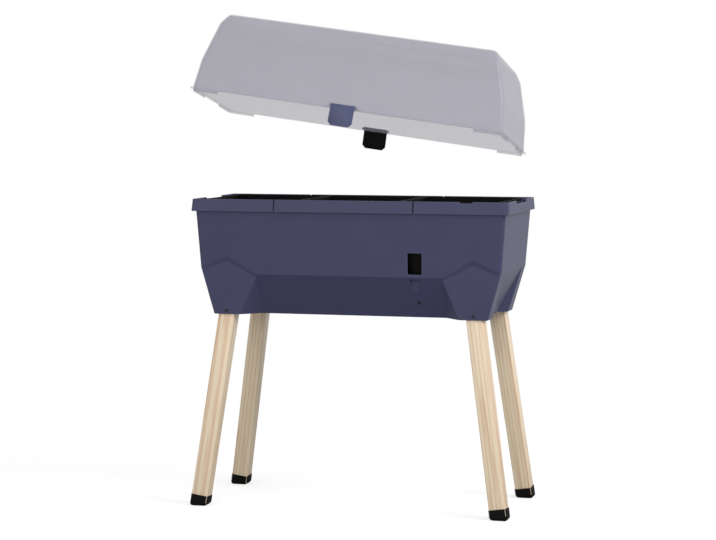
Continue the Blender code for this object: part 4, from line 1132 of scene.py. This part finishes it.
def steel(name, light, dark, roughness, stretch):
    """Steel with fine marks, stretched along one axis for a drawn wire."""
    made, output = new_material(name)
    place = add_node(made, "ShaderNodeTexCoord").outputs["Object"]
    stretched = add_node(made, "ShaderNodeMapping", {"Scale": stretch}, {"Vector": place})
    marks = noise(made, stretched.outputs[0], STEEL_MARK, 3.0)
    gloss = spread(made, marks, roughness - STEEL_SPREAD, roughness + STEEL_SPREAD)
    shader = add_node(
        made, "ShaderNodeBsdfPrincipled", {"Metallic": 1.0},
        {"Base Color": mix(made, marks, dark, light), "Roughness": gloss})
    return finish_material(made, output, shader)


screw_steel = steel("blackened_steel", linear("#3a3a3e"), linear("#1c1c1f"), 0.45, (1, 1, 1))
wire_steel = steel("drawn_steel_wire", linear("#b9b9bd"), linear("#96969b"), 0.30, (0.05, 1, 1))

# %% [markdown]
# Dressing the pieces
#
# Each material is assigned to a piece's slots. A piece of the frame keeps its mesh and only changes
# its material. A new piece also rides on its body, and the solid that it replaces is hidden.


# %% Dress the pieces
def dress(piece, material):
    """Give a piece one material."""
    piece.data.materials.clear()
    piece.data.materials.append(material)


def place_piece(piece, body, node, material):
    """Dress a new piece, let it ride on its body and stand for its solid."""
    dress(piece, material)
    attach(piece, body)
    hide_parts(node)


place_piece(tub, "planter", "tub", slate)
for node, strip in strips.items():
    place_piece(strip, "planter", node, slate)
for word in legs:
    place_piece(legs[word], "planter", f"leg_{word}", wood)
    place_piece(caps[word], "planter", f"foot_cap_{word}", rubber)
for node, piece in softened.items():
    place_piece(piece, "planter", node, black)
place_piece(lid, "lid", "lid", frosted)
place_piece(clips["front"], "front_clip", "front_clip", clip_blue)
place_piece(clips["rear"], "rear_clip", "rear_clip", black)
kept = {
    "wick_cup": black, "overflow_plug": plug_grey, "leg_screw": screw_steel,
    "front_clip_pin": wire_steel, "rear_clip_pin": wire_steel}
for name, node in frame["nodes"].items():
    for start, material in kept.items():
        if name.startswith(start):
            dress(node, material)
            print(name, "in", material.name)

# %% [markdown]
# The studio lights
#
# The picture is a product photograph on white. A white surround lights the planter from all sides.
# A large soft lamp on the right makes its right faces lighter than its front, a weaker one stands
# in front, and a faint one hangs above. The floor only shows where the legs shade it. The
# background's white comes from what the camera sees of the world, not from more light on the
# planter.

# %% Light the world
world = bpy.data.worlds.new("studio")
world.use_nodes = True
bpy.context.scene.world = world
world.node_tree.nodes.clear()
SURROUND = 0.70
WHITE = (1, 1, 1, 1)
path = add_node(world, "ShaderNodeLightPath")
shown = path.outputs["Is Camera Ray"]
for name in ("Is Glossy Ray", "Is Transmission Ray"):
    either = add_node(
        world, "ShaderNodeMath", links={0: shown, 1: path.outputs[name]}, operation="MAXIMUM")
    shown = either.outputs[0]
lit = add_node(world, "ShaderNodeBackground", {"Color": WHITE, "Strength": SURROUND})
seen = add_node(world, "ShaderNodeBackground", {"Color": WHITE, "Strength": 1.0})
both = add_node(
    world, "ShaderNodeMixShader", links={0: shown, 1: lit.outputs[0], 2: seen.outputs[0]})
add_node(world, "ShaderNodeOutputWorld", links={"Surface": both.outputs[0]})
print("surround", SURROUND)


# %% Hang the lamps
def soft_lamp(name, place, aim, size, power):
    """A square soft lamp that faces a point. Its size is in metres and its power in watts."""
    data = bpy.data.lights.new(name, "AREA")
    data.shape = "SQUARE"
    data.size = size
    data.energy = power
    lamp = bpy.data.objects.new(name, data)
    lamp.location = place
    lamp.rotation_euler = (Vector(aim) - Vector(place)).to_track_quat("-Z", "Y").to_euler()
    bpy.context.scene.collection.objects.link(lamp)
    print(name, size, "m", power, "W")


soft_lamp("right_key", (4.3, -1.2, 3.2), aim=(0, 0, 0.7), size=2.5, power=166)
soft_lamp("front_key", (-0.6, -5.0, 2.0), aim=(0, 0, 0.7), size=3.0, power=79)
soft_lamp("top_fill", (0, -0.5, 4.5), aim=(0, 0, 0.8), size=3.0, power=10)

# %% [markdown]
# The floor
#
# The floor is a plain white sheet. The camera sees it with some white of its own added, so that the
# shadows under the feet stay faint and soft. A little way off it turns all white, and meets the
# white background without a line.

# %% Lay the floor
FLOOR_SIZE = 60
FLOOR_WHITE = 0.68
SHADE_NEAR = 0.9
SHADE_FAR = 2.2
bpy.ops.object.select_all(action="DESELECT")
bpy.ops.mesh.primitive_plane_add(size=FLOOR_SIZE, location=(0, 0, 0))
floor = bpy.context.object
floor.name = "studio_floor"
paper, output = new_material("white_paper_floor")
paper_path = add_node(paper, "ShaderNodeLightPath")
seen_rays = add_node(
    paper, "ShaderNodeMath",
    links={0: paper_path.outputs["Is Camera Ray"], 1: paper_path.outputs["Is Glossy Ray"]},
    operation="MAXIMUM")
plain = add_node(paper, "ShaderNodeBsdfDiffuse", {"Color": linear("#a4a4a4")})
own_light = add_node(
    paper, "ShaderNodeMath", {1: FLOOR_WHITE}, {0: paper_path.outputs["Is Camera Ray"]},
    operation="MULTIPLY")
own = add_node(
    paper, "ShaderNodeEmission", {"Color": WHITE}, {"Strength": own_light.outputs[0]})
near = add_node(paper, "ShaderNodeAddShader", links={0: plain.outputs[0], 1: own.outputs[0]})
paper_place = add_node(paper, "ShaderNodeTexCoord").outputs["Object"]
away = add_node(paper, "ShaderNodeVectorMath", links={0: paper_place}, operation="LENGTH")
fade = spread(
    paper, away.outputs["Value"], 0.0, 1.0, SHADE_NEAR, SHADE_FAR, interpolation_type="SMOOTHSTEP")
white = add_node(paper, "ShaderNodeEmission", {"Color": WHITE, "Strength": 1.0})
seen_floor = add_node(
    paper, "ShaderNodeMixShader",
    links={0: fade, 1: near.outputs[0], 2: white.outputs[0]})
paper_shader = add_node(
    paper, "ShaderNodeMixShader",
    links={0: seen_rays.outputs[0], 1: plain.outputs[0], 2: seen_floor.outputs[0]})
finish_material(paper, output, paper_shader)
dress(floor, paper)

# %% [markdown]
# The camera
#
# The photograph looks at the front from a little to the right and from a little above the rim,
# through a long lens, so that upright edges stay almost parallel. The place, the turn and the focal
# length are those at which the legs, the tub and the rim fall on the photograph's.

# %% Place the camera
IMAGE_WIDTH = 716
SENSOR_MM = 36
FOCAL_PIXELS = 2221
CAMERA_PLACE = (1.4326, -5.2464, 0.9926)
CAMERA_YAW = 15.444
CAMERA_TILT = -4.414
camera_data = bpy.data.cameras.new("camera")
camera_data.sensor_width = SENSOR_MM
camera_data.lens = SENSOR_MM * FOCAL_PIXELS / IMAGE_WIDTH
camera = bpy.data.objects.new("camera", camera_data)
camera.location = CAMERA_PLACE
camera.rotation_euler = (math.radians(90 + CAMERA_TILT), 0, math.radians(CAMERA_YAW))
bpy.context.scene.collection.objects.link(camera)
bpy.context.scene.camera = camera
bpy.context.scene.view_settings.view_transform = "Standard"
print("lens", round(camera_data.lens, 1), "mm")
